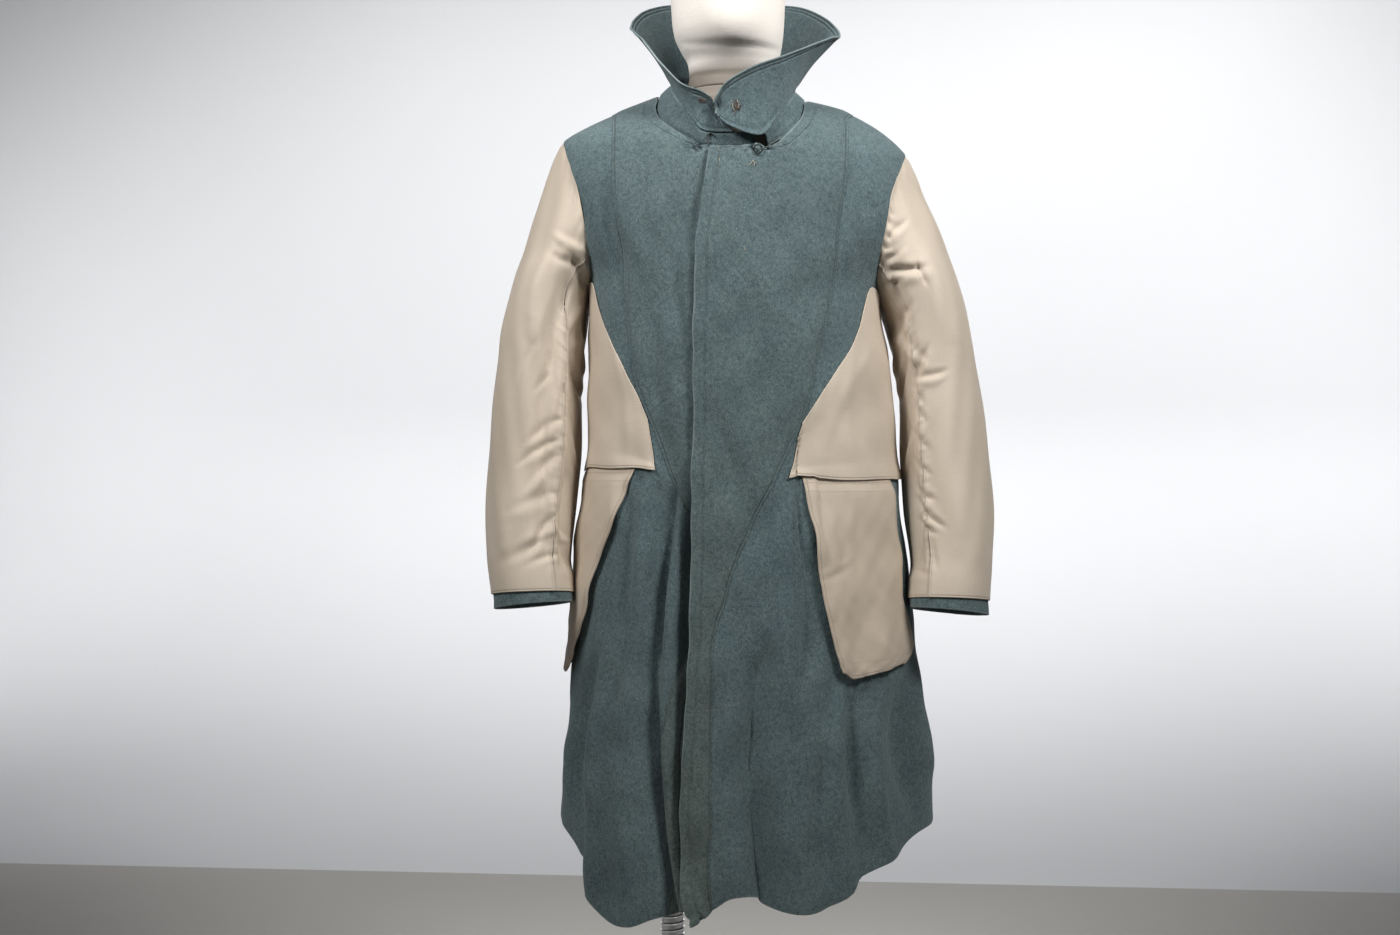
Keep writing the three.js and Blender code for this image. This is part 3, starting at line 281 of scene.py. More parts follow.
SLEEVE_CREASES = {
    UNDER: [
        (570, 280, 552, 370, 12, -9), (556, 350, 547, 480, 12, -9), (552, 450, 550, 560, 9, -6),
        (556, 250, 536, 345, 15, 6), (538, 320, 530, 450, 16, 4), (556, 236, 588, 252, 6, 5),
        (552, 254, 580, 264, 5, -5), (572, 256, 592, 290, 7, -9), (582, 262, 592, 272, 4, 4),
        (574, 290, 561, 400, 4, 4), (561, 380, 557, 530, 4, 4), (596, 300, 568, 330, 7, 6),
        (592, 328, 572, 342, 8, -6), (576, 340, 592, 410, 10, -8), (566, 425, 580, 480, 7, 5),
        (572, 236, 536, 318, 15, -5), (562, 418, 528, 442, 6, -5), (558, 440, 520, 464, 5, -6),
        (558, 455, 524, 492, 7, -5), (560, 492, 512, 510, 9, -4), (560, 512, 530, 553, 6, -6),
        (545, 540, 492, 574, 8, -6), (556, 530, 506, 560, 8, 4), (560, 554, 518, 572, 5, -5),
        (526, 566, 520, 592, 4, -3), (553, 562, 542, 582, 4, -3), (557, 530, 572, 542, 5, 5),
        (562, 538, 572, 566, 6, -5), (540, 338, 520, 380, 4, -2), (552, 374, 534, 392, 4, -3),
        (512, 280, 498, 450, 20, 3), (548, 465, 508, 545, 13, 3.5), (550, 180, 536, 245, 18, -2.5),
        (500, 400, 498, 560, 12, -2.5),
    ],
    OVER: [
        (881, 204, 896, 216, 4, -4), (882, 217, 897, 224, 3.5, -4), (880, 228, 899, 233, 4, 4),
        (906, 222, 886, 242, 4.5, -5), (878, 243, 892, 248, 3.5, -5), (879, 251, 902, 250, 4.5, 4),
        (904, 249, 876, 273, 4.5, -6), (884, 267, 926, 266, 4.6, -7), (918, 264, 927, 284, 4, -5),
        (886, 276, 924, 276, 7, 5), (881, 283, 906, 278, 4, -5), (896, 280, 909, 318, 8, -9),
        (909, 308, 886, 342, 9, -10), (918, 280, 924, 360, 12, 5), (893, 336, 924, 364, 7, 6),
        (926, 350, 913, 395, 7, -8), (916, 376, 946, 370, 4.5, -3.5), (920, 382, 944, 377, 6, 3.5),
        (909, 355, 911, 430, 4, 4), (913, 380, 924, 404, 5, -4), (914, 400, 926, 420, 5, -4),
        (911, 428, 928, 448, 6, -4), (911, 458, 930, 473, 5, -4), (914, 487, 934, 499, 5, -4),
        (912, 498, 944, 526, 5, -5.5), (914, 509, 936, 526, 5, 3.5), (914, 519, 936, 533, 4.5, -4),
        (931, 530, 945, 590, 5, -3), (917, 569, 942, 578, 4, -3.5), (930, 240, 960, 345, 18, 3.5),
        (950, 380, 968, 540, 20, 3.5), (888, 340, 894, 430, 9, -8), (898, 420, 903, 575, 9, -7),
        (935, 420, 940, 520, 14, -3),
    ],
}
BAG_CREASES = {
    OVER: [
        (853, 490, 856, 660, 7, 1.2), (815, 580, 846, 563, 5, -1.2), (826, 505, 848, 575, 12, 1.5),
        (832, 620, 856, 680, 12, 2), (885, 540, 858, 670, 16, -2), (896, 560, 880, 650, 12, 1.5),
    ],
    UNDER: [
        (611, 560, 584, 662, 4, 2.5), (620, 552, 594, 660, 8, -2.5), (604, 485, 596, 570, 9, 1.2),
        (592, 530, 586, 610, 7, -1.5),
    ],
}
BAG_WAVE = {OVER: 0.12, UNDER: 0.7}
LINING_CREASES = {
    OVER: [(200, 960, 210, 1150, 8, 1.2), (250, 955, 262, 1100, 10, -0.8), (160, 990, 235, 1120, 9, 0.8)],
    UNDER: [(190, 970, 215, 1120, 8, 1.2), (250, 965, 262, 1120, 9, -0.8)],
}
# Creases at the back of either sleeve: the way round and the length down, in mm
HIDDEN_CREASES = [
    (-30, 200, -62, 330, 18, -4), (-44, 180, -70, 300, 12, 4), (-60, 250, -100, 236, 8, 5),
    (-56, 268, -104, 262, 8, -6), (-62, 292, -108, 300, 9, 5), (-66, 320, -100, 338, 9, -5),
    (-74, 60, -104, 150, 12, -5), (-90, 40, -112, 120, 9, 4), (-40, 400, -98, 430, 10, -4),
    (-52, 430, -96, 462, 9, 4), (-30, 470, -80, 484, 9, -3), (160, 60, 200, 140, 9, 4),
    (146, 130, 196, 180, 9, -5), (140, 236, 176, 300, 10, 4), (150, 310, 160, 460, 11, -4),
    (-170, 240, -150, 430, 12, 4), (-140, 200, -128, 330, 9, -5),
]

# The dress form: how far the torso lies inside the coat, then the neck and head by level
FORM_INSET = columns("z inset", [
    (790, 74), (830, 56), (900, 44), (985, 46), (1100, 34), (1250, 26), (1330, 24), (1378, 9), (1400, 4.4),
    (1430, 5), (1456, 4),
])
NECK = columns("z wide front back x", [
    (1452, 82, -66, 66, -6), (1458, 70, -64, 61, -5), (1468, 65, -62, 58, -4),
])
HEAD = columns("z wide front back x", [
    (1468.5, 64, -62, 58, -4), (1490, 61, -62, 56, -4), (1508, 62, -72, 56, -5), (1524, 68, -90, 62, -8),
    (1545, 74, -101, 74, -11), (1580, 77, -105, 88, -12), (1630, 78, -104, 99, -12),
    (1680, 75, -98, 97, -12), (1720, 64, -82, 80, -12), (1745, 46, -58, 56, -12), (1758, 24, -30, 30, -12),
    (1762, 8, -10, 10, -12),
])

# Loose threads on a piece, each drawn by pixels of the view, and the tacked lines of the overlap
THREAD_MARKS = [
    (
        ["wool_fall_left"], "Brown thread",
        [
            [(736, 99), (735, 104), (737, 109), (735, 114)],
            [(732, 105), (735, 107), (740, 105), (742, 106)], [(733, 112), (736, 107), (738, 102)],
            [(732, 102), (736, 106), (740, 111)], [(734, 100), (738, 103), (740, 109)],
            [(733, 108), (738, 109), (741, 108)],
        ],
    ),
    (
        ["wool_fall_left"], "Pale thread",
        [[(732, 103), (733, 108), (735, 111)], [(737, 100), (739, 105), (737, 110)]],
    ),
    (
        ["wool_fall_right"], "Brown thread",
        [
            [(695, 96), (699, 98), (703, 100)], [(698, 100), (702, 99), (706, 101)],
            [(700, 97), (703, 101), (707, 102)], [(699, 101), (703, 102), (706, 100)],
        ],
    ),
    (
        ["wool_facing_left", "wool_front_left"], "Pale thread",
        [
            [(748, 166), (751, 163), (753, 160)], [(752, 161), (755, 163), (757, 164)],
            [(753, 160), (754, 163), (754, 166)], [(744, 246), (745, 250)], [(719, 158), (720, 162)],
            [(718, 149), (721, 151)],
        ],
    ),
]
TACKED_LINES = [[(693, 711), (708, 711), (722, 709), (746, 700)], [(691, 865), (706, 859), (722, 853)]]

# Lights: the strength's name, the place, the size, and the place each looks at, in metres, and the spread
LAMPS = [
    ("key_left", (-1.4, -1.35, 2.75), (0.7, 0.7), (0, 0, 1.75), 88),
    ("key_right", (1.4, -1.35, 2.8), (0.7, 0.7), (0, 0, 1.75), 88),
    ("wall_wash", (0.3, 2.8, 3.7), (4.5, 0.5), (0.3, 4.5, 1.3), 100),
    ("wall_sides", (-3.8, 2.5, 1.4), (0.5, 2.0), (-2.3, 4.7, 1.1), 90),
    ("wall_sides", (3.8, 2.1, 1.4), (0.5, 2.0), (2.3, 4.3, 1.1), 90),
    ("from_behind", (0.4, 3.1, 3.0), (1.2, 0.8), (0, 0, 1.2), 70),
]

# The backdrop in metres: the foot of its wall, the front of its floor, and the sweep between them
WALL_FOOT = ((-7, 2.612), (7, 1.19))
WALL_TOP = 6
FLOOR_FRONT = -5
SWEEP = {"depth": 2.7, "height": 1.2}

# The camera's eye in mm, the middle of its view in pixels, and the pixels for a slope of one
EYE = (-50, -2640, 960)
VIEW_MIDDLE = (700, 467.5)
VIEW_SCALE = 1944

# Points of the grids: across a front and a back, up a front and a back, and round and down a sleeve
FRONT_DETAIL = 54
BACK_DETAIL = 64
ROW_DETAIL = 205
BACK_ROW_DETAIL = 150
SLEEVE_DETAIL = 100
SLEEVE_ROWS = 178
HEAD_DETAIL = 96

# How far in from an edge the extra points for its rounding reach, in mm
WOOL_EDGE = 1.6
SATIN_EDGE = 1.2
STAND_EDGE = 1.4

# A sleeve in mm: the cloth for a degree round it, its usual length and how far its end tilts
SLEEVE_DEGREE = 1.0
SLEEVE_LENGTH = 525
CUFF_TILT = 6

# Radians for a millimetre at one wave for a metre, and the radius of the spiral of ribs in metres
WAVE = 0.00628
RIB_SPIRAL = 0.0145
RIB_CLEARANCE = 0.01

# Tints that darken, cool and age the wool; the darkening one gives both the cloudy mottling and the painted
# shade in stitched grooves
GROOVE_SHADE_AND_MOTTLE = (0.62, 0.66, 0.7)
BLUER = (0.84, 0.93, 1.0)
OLIVE = (1.0, 0.93, 0.8)

THREAD_COLORS = {
    "Wool thread": (0.17, 0.2, 0.19),
    "Cotton thread": (0.4, 0.335, 0.25),
    "Pale thread": (0.5, 0.45, 0.33),
    "Brown thread": (0.13, 0.07, 0.055),
}
WOOL_SURFACE = {
    "Roughness": 0.95,
    "Specular IOR Level": 0.15,
    "Sheen Weight": 0.2,
    "Sheen Roughness": 0.6,
    "Sheen Tint": (0.62, 0.72, 0.72, 1),
}
COTTON_SURFACE = {"Specular IOR Level": 0.35, "Sheen Weight": 0.12, "Sheen Roughness": 0.4}


def smooth(t):
    t = np.clip(t, 0, 1)
    return t * t * (3 - 2 * t)


def mix(a, b, t):
    return a + (b - a) * t


def curve(at, values):
    """A smooth curve through a table's rows, read at any number of places."""
    at = np.asarray(at, float)
    values = np.asarray(values, float)
    before = np.maximum(np.arange(len(at)) - 1, 0)
    after = np.minimum(np.arange(len(at)) + 1, len(at) - 1)
    span = (at[after] - at[before]).reshape((-1,) + (1,) * (values.ndim - 1))
    slope = (values[after] - values[before]) / span

    def read(where):
        where = np.asarray(where, float)
        i = np.clip(np.searchsorted(at, where) - 1, 0, len(at) - 2)
        step = (at[i + 1] - at[i]).reshape(where.shape + (1,) * (values.ndim - 1))
        t = (where - at[i]).reshape(step.shape) / step
        t = np.clip(t, 0, 1)
        return (
            values[i] * (2 * t**3 - 3 * t**2 + 1)
            + values[i + 1] * (3 * t**2 - 2 * t**3)
            + step * (slope[i] * (t**3 - 2 * t**2 + t) + slope[i + 1] * (t**3 - t**2))
        )

    return read


def table_curve(table, by, column):
    return curve(table[by], table[column])


def solve(measure, target, low, high):
    """Where between low and high a rising or falling measure meets its target."""
    target = np.asarray(target, float)
    low = np.full(target.shape, float(low))
    high = np.full(target.shape, float(high))
    rising = measure(high) > measure(low)
    for _ in range(36):
        middle = (low + high) / 2
        below = (measure(middle) < target) == rising
        low = np.where(below, middle, low)
        high = np.where(below, high, middle)
    return (low + high) / 2


reach = {side: table_curve(SECTIONS, "z", side) for side in ("right", "left", "front", "back", "square")}


def fold_depth(turn, z, layer):
    depth = np.zeros(np.broadcast(turn, z).shape)
    for on, start, full, top, hem_turn, half, deep, hem_deep in FOLDS:
        if on not in ("all", layer):
            continue
        down = smooth((start - z) / (start - full))
        further = smooth((full - z) / (full - FOLD_END))
        along = smooth((start - z) / (start - FOLD_END))
        away = np.abs(turn - mix(top, hem_turn, along))
        away = np.where(away > 180, 360 - away, away)
        bump = np.where(away < half, 0.5 + 0.5 * np.cos(np.pi * away / half), 0)
        depth += bump * down * mix(deep, hem_deep, further)
    return depth


def crease_depth(across, up, creases):
    """Soft troughs and ridges along slightly bowed, tapering lines, with a low roll beside each."""
    depth = np.zeros(np.broadcast(across, up).shape)
    for a0, b0, a1, b1, half, deep in creases:
        length = math.hypot(a1 - a0, b1 - b0)
        ua, ub = (a1 - a0) / length, (b1 - b0) / length
        along = (across - a0) * ua + (up - b0) * ub
        share = np.clip(along / length, 0, 1)
        body = 1 - 0.9 * (2 * share - 1) ** 2
        beside = (across - a0) * ub - (up - b0) * ua + 0.07 * length * body
        past = along - share * length
        wide = half * (0.55 + 0.45 * body)
        fade = np.exp(-((past / half) ** 2)) * np.sqrt(body)
        line = np.exp(-((beside / wide) ** 2)) - 0.35 * np.exp(-(((beside - 1.7 * wide) / wide) ** 2))
        depth = depth + deep * line * fade
    return depth


def body_point(turn, z, layer):
    """A point of the coat's body at a turn round from the front and at a level."""
    turn, z = np.broadcast_arrays(np.asarray(turn, float), np.asarray(z, float))
    angle = np.radians(turn)
    sine, cosine = np.sin(angle), np.cos(angle)
    wide = np.where(sine > 0, reach["left"](z) - MIDLINE, MIDLINE - reach["right"](z))
    deep = np.where(cosine > 0, -reach["front"](z), reach["back"](z))
    power = reach["square"](z)
    radius = (np.abs(sine / wide) ** power + np.abs(cosine / deep) ** power) ** (-1 / power)
    radius = radius + fold_depth(turn, z, layer)
    x = MIDLINE + radius * sine
    lean = -SHOULDER_DROP * x * smooth((z - 1000) / 200)
    return np.stack([x, -radius * cosine, z + lean], -1)


def coat_point(turn, z, layer):
    """The same with the cloth's creases and its slow unevenness."""
    turn, z = np.broadcast_arrays(np.asarray(turn, float), np.asarray(z, float))
    creases = [(a * DEGREE, b, c * DEGREE, d, half, deep) for a, b, c, d, half, deep in CREASES[layer]]
    off = crease_depth(turn * DEGREE, z, creases)
    near_seam = smooth((np.abs(np.abs(turn) - SIDE_SEAM_TURN)) / 14)
    near_seam = near_seam * smooth((1440 - z) / 60) * smooth((180 - np.abs(turn)) / 12)
    off = off * near_seam
    fade = smooth((1400 - z) / 120)
    for around, up, phase, height in RIPPLES:
        off = off + height * np.sin(around * np.radians(turn) + up * z * WAVE + phase) * fade
    return body_point(turn, z, layer) + outward_at(turn) * off[..., None]


def turn_at_x(x, z, layer):
    z = np.asarray(z, float)
    return solve(lambda turn: body_point(turn, z, layer)[..., 0], np.broadcast_to(x, z.shape), -88, 88)


def turn_at_y(y, z, side):
    z = np.asarray(z, float)
    return side * solve(lambda turn: body_point(side * turn, z, "plain")[..., 1], y, 1, 179)


def panel_lift(layer, turn):
    """How far the left front stands off where it lies over the right one."""
    if layer != OVER:
        return np.zeros(np.shape(turn))
    return OVERLAP_LIFT * (1 - smooth((turn - 18) / 32))


def armhole(station, side):
    angle = np.radians(station)
    z = ARMHOLE["middle"] + ARMHOLE["tall"] * np.cos(angle)
    y = ARMHOLE["centre"] - ARMHOLE["deep"] * np.sin(angle)
    return turn_at_y(y, z, side), z


def half_gap(radius):
    return math.degrees(SEAM_GAP / 2 / radius)


# Grids of turns and levels that the panels are cut to


def blend_rows(rows, kinks, places):
    """Reads a stack of rows at fractional row numbers, smoothly but for the rows named as kinks."""
    rows = np.asarray(rows, float)
    places = np.asarray(places, float)
    out = np.empty((len(places),) + rows.shape[1:])
    ends = [0, *kinks, len(rows) - 1]
    for first, last in zip(ends, ends[1:]):
        chosen = (places >= first) & (places <= last)
        out[chosen] = curve(np.arange(first, last + 1), rows[first : last + 1])(places[chosen])
    return out


def rim(count, length, width):
    """Shares of a length, evenly spaced, with a few more close to both ends for a rounded edge."""
    edge = width / length
    near = edge * np.array([0, 0.12, 0.4])
    return np.concatenate([near, np.linspace(edge, 1 - edge, count), 1 - near[::-1]])


def front_rows(layer, shares):
    """The turns and levels of a front's rows, hem to shoulder, at shares across its facing and its rest."""
    side = 1 if layer == OVER else -1
    edge_x = table_curve(FRONT_EDGE[layer], "z", "x")
    seam_x = table_curve(FACING_SEAM[layer], "z", "x")
    hem = table_curve(HEM[layer], "turn", "z")
    side_turn = side * (SIDE_SEAM_TURN - half_gap(210))
    corner = HEM[layer]["z"][0 if layer == OVER else -1]
    hem_turn = turn_at_x(edge_x(corner), corner, layer)
    starts, ends = [], []
    for r in range(SKIRT_ROWS + 1):
        starts.append(("skirt", r / SKIRT_ROWS))
        ends.append(None)
    for z in MIDDLE_ROWS:
        starts.append((float(turn_at_x(edge_x(z), z, layer)), z))
        ends.append((side_turn, z))
    upper = [(z, None) for z in EDGE_ROWS] + NECK_ROWS[layer]
    for station, (z, x) in zip(reversed(STATIONS), upper):
        at_x = edge_x(z) if x is None else x
        start = (float(turn_at_x(at_x, z, layer)), z)
        end = (side_turn, z) if station == 180 else tuple(float(v) for v in armhole(station, side))
        if station == 0:
            gap = half_gap(side * (float(reach[name_of(side)](z)) - MIDLINE))
            start = (side * (90 - gap), z)
            end = (side * (90 - gap), end[1])
        starts.append(start)
        ends.append(end)

    def row(k, s):
        if starts[k][0] == "skirt":
            rise = starts[k][1]
            z = mix(hem(mix(hem_turn, side_turn, s)), WAIST, rise)
            return mix(turn_at_x(edge_x(z), z, layer), side_turn, s), z
        return mix(starts[k][0], ends[k][0], s), mix(starts[k][1], ends[k][1], s) + 0 * s

    facing, panel = [], []
    for k in range(len(starts)):

        def past_seam(s):
            turn, z = row(k, s)
            return side * (body_point(turn, z, layer)[..., 0] - seam_x(z))

        share = float(solve(past_seam, 0.0, 0.02, 0.98))
        facing.append(np.stack(row(k, share * shares), -1))
        panel.append(np.stack(row(k, mix(share, 1, shares)), -1))
    return np.array(facing), np.array(panel)


CORNER_ROW = SKIRT_ROWS + len(MIDDLE_ROWS) + len(EDGE_ROWS)


def back_rows(side, shares):
    layer = OVER if side > 0 else UNDER
    hem = table_curve(HEM[layer], "turn", "z")
    seam = side * (SIDE_SEAM_TURN + half_gap(210))
    centre = side * (180 - half_gap(120))
    rows = []
    for r in range(SKIRT_ROWS + 1):
        turn = mix(seam, centre, shares)
        rows.append(np.stack([turn, mix(hem(turn), WAIST, r / SKIRT_ROWS)], -1))
    for z in MIDDLE_ROWS:
        rows.append(np.stack([mix(seam, centre, shares), z + 0 * shares], -1))
    straight = len(STATIONS) - len(BACK_NECK_TURNS)
    for k, station in enumerate(reversed(STATIONS)):
        start = (seam, ARMPIT) if station == 180 else tuple(float(v) for v in armhole(360 - station, side))
        end = (centre, mix(ARMPIT, BACK_NECK, k / straight))
        if k >= straight:
            end = (min(BACK_NECK_TURNS[k - straight], abs(centre)) * side, BACK_NECK)
        if station == 0:
            gap = half_gap(100)
            start = (side * (90 + gap / 2), start[1])
            end = (side * (90 + gap), end[1])
        rows.append(np.stack([mix(start[0], end[0], shares), mix(start[1], end[1], shares)], -1))
    return np.array(rows)


def row_places(points, count, width, first_weight=0.0):
    """Fractional row numbers that space a coarse stack of rows evenly in millimetres."""
    steps = np.linalg.norm(np.diff(points, axis=0), axis=-1)
    step = np.maximum(steps.mean(1), first_weight * steps[:, 0])
    along = np.concatenate([[0], np.cumsum(step)])
    return np.interp(rim(count, along[-1], width) * along[-1], along, np.arange(len(along)))


# Meshes: closed thin shells with rounded edges


def normals_of(mid, wrap, flip):
    if wrap:
        around = np.roll(mid, -1, 1) - np.roll(mid, 1, 1)
    else:
        around = np.gradient(mid, axis=1)
    normal = np.cross(around, np.gradient(mid, axis=0))
    length = np.linalg.norm(normal, axis=-1, keepdims=True)
    normal = normal / np.maximum(length, 1e-9)
    return -normal if flip else normal


def lengths_along(mid, axis):
    steps = np.linalg.norm(np.diff(mid, axis=axis), axis=-1)
    start = np.zeros_like(np.take(steps, [0], axis))
    return np.concatenate([start, np.cumsum(steps, axis)], axis)


def edge_distance(mid, sides):
    """How far each point of a grid lies from the nearest of the named sides, in mm along the cloth."""
    across, up = lengths_along(mid, 1), lengths_along(mid, 0)
    ways = {
        "first": across,
        "last": across[:, -1:] - across,
        "bottom": up,
        "top": up[-1:] - up,
    }
    return np.min([ways[side] for side in sides], 0)


def mesh_object(name, points, faces, marks, material):
    mesh = bpy.data.meshes.new(name)
    mesh.from_pydata((points * MM).tolist(), [], faces)
    for mark, values in marks.items():
        mesh.attributes.new(mark, "FLOAT", "POINT").data.foreach_set("value", np.asarray(values, np.float32))
    mesh.materials.append(material)
    mesh.polygons.foreach_set("use_smooth", np.ones(len(mesh.polygons), bool))
    mesh.update()
    made = bpy.data.objects.new(name, mesh)
    bpy.context.scene.collection.objects.link(made)
    return made


def shell(name, mid, thick, material, flip=False, wrap=False, marks=None):
    """A closed cloth wall round a grid of middle points, whose edges round off over half its thickness."""
    rows, cols = mid.shape[:2]
    normal = normals_of(mid, wrap, flip)
    sides = ["bottom", "top"] if wrap else ["first", "last", "bottom", "top"]
    away = np.clip(edge_distance(mid, sides) / (thick / 2), 0, 1)
    half = thick / 2 * np.sqrt(1 - (1 - away) ** 2)
    outer = mid + normal * half[..., None]
    inner = mid - normal * half[..., None]
    index = np.arange(rows * cols).reshape(rows, cols)
    rim_points = np.zeros((rows, cols), bool)
    rim_points[[0, -1]] = True
    if not wrap:
        rim_points[:, [0, -1]] = True
    under = index.copy()
    inside = ~rim_points
    under[inside] = rows * cols + np.arange(inside.sum())
    if wrap:
        index = np.concatenate([index, index[:, :1]], 1)
        under = np.concatenate([under, under[:, :1]], 1)

    def quads(grid, back):
        a, b, c, d = grid[:-1, :-1], grid[:-1, 1:], grid[1:, 1:], grid[1:, :-1]
        order = (a, d, c, b) if back else (a, b, c, d)
        return np.stack(order, -1).reshape(-1, 4)

    faces = np.concatenate([quads(index, flip), quads(under, not flip)])
    points = np.concatenate([outer.reshape(-1, 3), inner[inside]])
    kept = {}
    for mark, values in (marks or {}).items():
        kept[mark] = np.concatenate([values.ravel(), values[inside]])
    return mesh_object(name, points, faces.tolist(), kept, material), normal


def line_at(mid, normal, side, distance, lift):
    """The line that runs beside one side of a grid at a distance, raised off the cloth's middle."""
    across = side in ("first", "last")
    grid = mid if across else mid.transpose(1, 0, 2)
    facing = normal if across else normal.transpose(1, 0, 2)
    if side in ("last", "top"):
        grid, facing = grid[:, ::-1], facing[:, ::-1]
    along = lengths_along(grid, 1)
    points = []
    for row, up, length in zip(grid, facing, along):
        place = [np.interp(distance, length, row[:, k]) for k in range(3)]
        out = [np.interp(distance, length, up[:, k]) for k in range(3)]
        points.append(np.array(place) + np.array(out) * lift)
    return np.array(points)


# Materials: helpers that add nodes and join sockets, and the effects that several finishes share


def feed(tree, node, inputs):
    """Joins or sets each of a node's inputs."""
    for name, value in inputs.items():
        if isinstance(value, bpy.types.NodeSocket):
            tree.links.new(value, node.inputs[name])
        else:
            node.inputs[name].default_value = value
    return node


def put(tree, kind, inputs=None, **options):
    """Adds a node, sets its options, and joins or sets its inputs."""
    node = tree.nodes.new(kind)
    for name, value in options.items():
        setattr(node, name, value)
    return feed(tree, node, inputs or {})


def maths(tree, operation, *values, clamp=False):
    node = put(tree, "ShaderNodeMath", dict(enumerate(values)), operation=operation, use_clamp=clamp)
    return node.outputs[0]


def mixed(tree, factor, first, second, blend="MIX"):
    colors = [c if isinstance(c, bpy.types.NodeSocket) else rgb(c) for c in (first, second)]
    inputs = {0: factor, 6: colors[0], 7: colors[1]}
    return put(tree, "ShaderNodeMix", inputs, data_type="RGBA", blend_type=blend).outputs[2]


def mixed_value(tree, factor, first, second):
    inputs = {"Factor": factor, "A": first, "B": second}
    return put(tree, "ShaderNodeMix", inputs, data_type="FLOAT").outputs[0]


def noise(tree, vector, scale, detail=2, rough=0.5, warp=0.0):
    inputs = {"Vector": vector, "Scale": scale, "Detail": detail, "Roughness": rough, "Distortion": warp}
    return put(tree, "ShaderNodeTexNoise", inputs).outputs[0]


def ranged(tree, value, low, high, to_low=0.0, to_high=1.0):
    inputs = {"Value": value, "From Min": low, "From Max": high, "To Min": to_low, "To Max": to_high}
    return put(tree, "ShaderNodeMapRange", inputs, clamp=True).outputs[0]


def stretched(tree, vector, scale):
    return put(tree, "ShaderNodeMapping", {"Vector": vector, "Scale": scale}).outputs[0]


def add_inputs(tree, inputs):
    for socket, kind, default in inputs:
        made = tree.interface.new_socket(name=socket, in_out="INPUT", socket_type=kind)
        if default is not None:
            made.default_value = default


def group(name, inputs, outputs):
    """An empty shader group with its sockets, and its input and output nodes."""
    tree = bpy.data.node_groups.new(name, "ShaderNodeTree")
    add_inputs(tree, inputs)
    for socket, kind in outputs:
        tree.interface.new_socket(name=socket, in_out="OUTPUT", socket_type=kind)
    return tree, tree.nodes.new("NodeGroupInput"), tree.nodes.new("NodeGroupOutput")


def heather_group():
    """Wool fibres of several shades: a soft mixture with a few pale flecks, brushed a little downward."""
    tree, given, out = group(
        "Heather fibres",
        [
            ("Vector", "NodeSocketVector", None),
            ("Dark", "NodeSocketColor", (0, 0, 0, 1)),
            ("Middle", "NodeSocketColor", (0.1, 0.1, 0.1, 1)),
            ("Pale", "NodeSocketColor", (0.5, 0.5, 0.5, 1)),
        ],
        [("Color", "NodeSocketColor"), ("Height", "NodeSocketFloat")],
    )
    vector = given.outputs["Vector"]
    brushed = stretched(tree, vector, (1, 1, 0.55))
    fibre = noise(tree, brushed, 560, 4, 0.62, 0.7)
    tuft = noise(tree, vector, 190, 2, 0.5, 0.4)
    depth = ranged(tree, mixed_value(tree, 0.4, fibre, tuft), 0.3, 0.62)
    ground = mixed(tree, depth, given.outputs["Dark"], given.outputs["Middle"])
    flecks = []
    for turned, scale in (((0.5, 0.9, 0.4), 1300), ((1.1, -0.6, 1.9), 1100)):
        inputs = {"Vector": vector, "Rotation": turned, "Scale": (1, 1, 0.4)}
        leaning = put(tree, "ShaderNodeMapping", inputs).outputs[0]
        flecks.append(noise(tree, leaning, scale, 1, 0.5, 0.6))
    most = maths(tree, "MAXIMUM", *flecks)
    mask = maths(tree, "MULTIPLY", ranged(tree, most, 0.58, 0.8), 0.7)
    color = mixed(tree, mask, ground, given.outputs["Pale"])
    height = maths(tree, "MULTIPLY_ADD", mask, 0.35, fibre)
    tree.links.new(color, out.inputs["Color"])
    tree.links.new(height, out.inputs["Height"])
    return tree


def weave_group():
    """Fine threads both ways with slubs and a slow change of shade, for satin, twill and linen."""
    tree, given, out = group(
        "Woven threads",
        [
            ("Vector", "NodeSocketVector", None),
            ("Count", "NodeSocketFloat", 500.0),
            ("Slant", "NodeSocketFloat", 0.0),
        ],
        [("Shade", "NodeSocketFloat"), ("Height", "NodeSocketFloat")],
    )
    vector = given.outputs["Vector"]
    part = put(tree, "ShaderNodeSeparateXYZ", {"Vector": vector})
    across = maths(tree, "ADD", part.outputs["X"], maths(tree, "MULTIPLY", part.outputs["Y"], 0.8))
    slanted = maths(tree, "MULTIPLY_ADD", part.outputs["Z"], given.outputs["Slant"], across)
    warp = maths(tree, "SINE", maths(tree, "MULTIPLY", slanted, given.outputs["Count"]))
    weft = maths(tree, "SINE", maths(tree, "MULTIPLY", part.outputs["Z"], given.outputs["Count"]))
    upright = noise(tree, stretched(tree, vector, (900, 900, 40)), 1, 2)
    level = noise(tree, stretched(tree, vector, (40, 40, 900)), 1, 2)
    slub = maths(tree, "ADD", upright, level)
    height = maths(tree, "ADD", maths(tree, "MULTIPLY", maths(tree, "ADD", warp, weft), 0.25), slub)
    tree.links.new(ranged(tree, slub, 0.6, 1.4), out.inputs["Shade"])
    tree.links.new(height, out.inputs["Height"])
    return tree


def age_group():
    """Cloudy unevenness of shade, with a mask for stains."""
    tree, given, out = group(
        "Age",
        [("Vector", "NodeSocketVector", None), ("Size", "NodeSocketFloat", 8.0)],
        [("Cloud", "NodeSocketFloat"), ("Stain", "NodeSocketFloat")],
    )
    vector = given.outputs["Vector"]
    size = given.outputs["Size"]
    cloud = noise(tree, vector, size, 4, 0.6, 0.4)
    stain = noise(tree, vector, maths(tree, "MULTIPLY", size, 0.6), 3, 0.55, 1.2)
    tree.links.new(ranged(tree, cloud, 0.3, 0.7), out.inputs["Cloud"])
    tree.links.new(ranged(tree, stain, 0.55, 0.75), out.inputs["Stain"])
    return tree


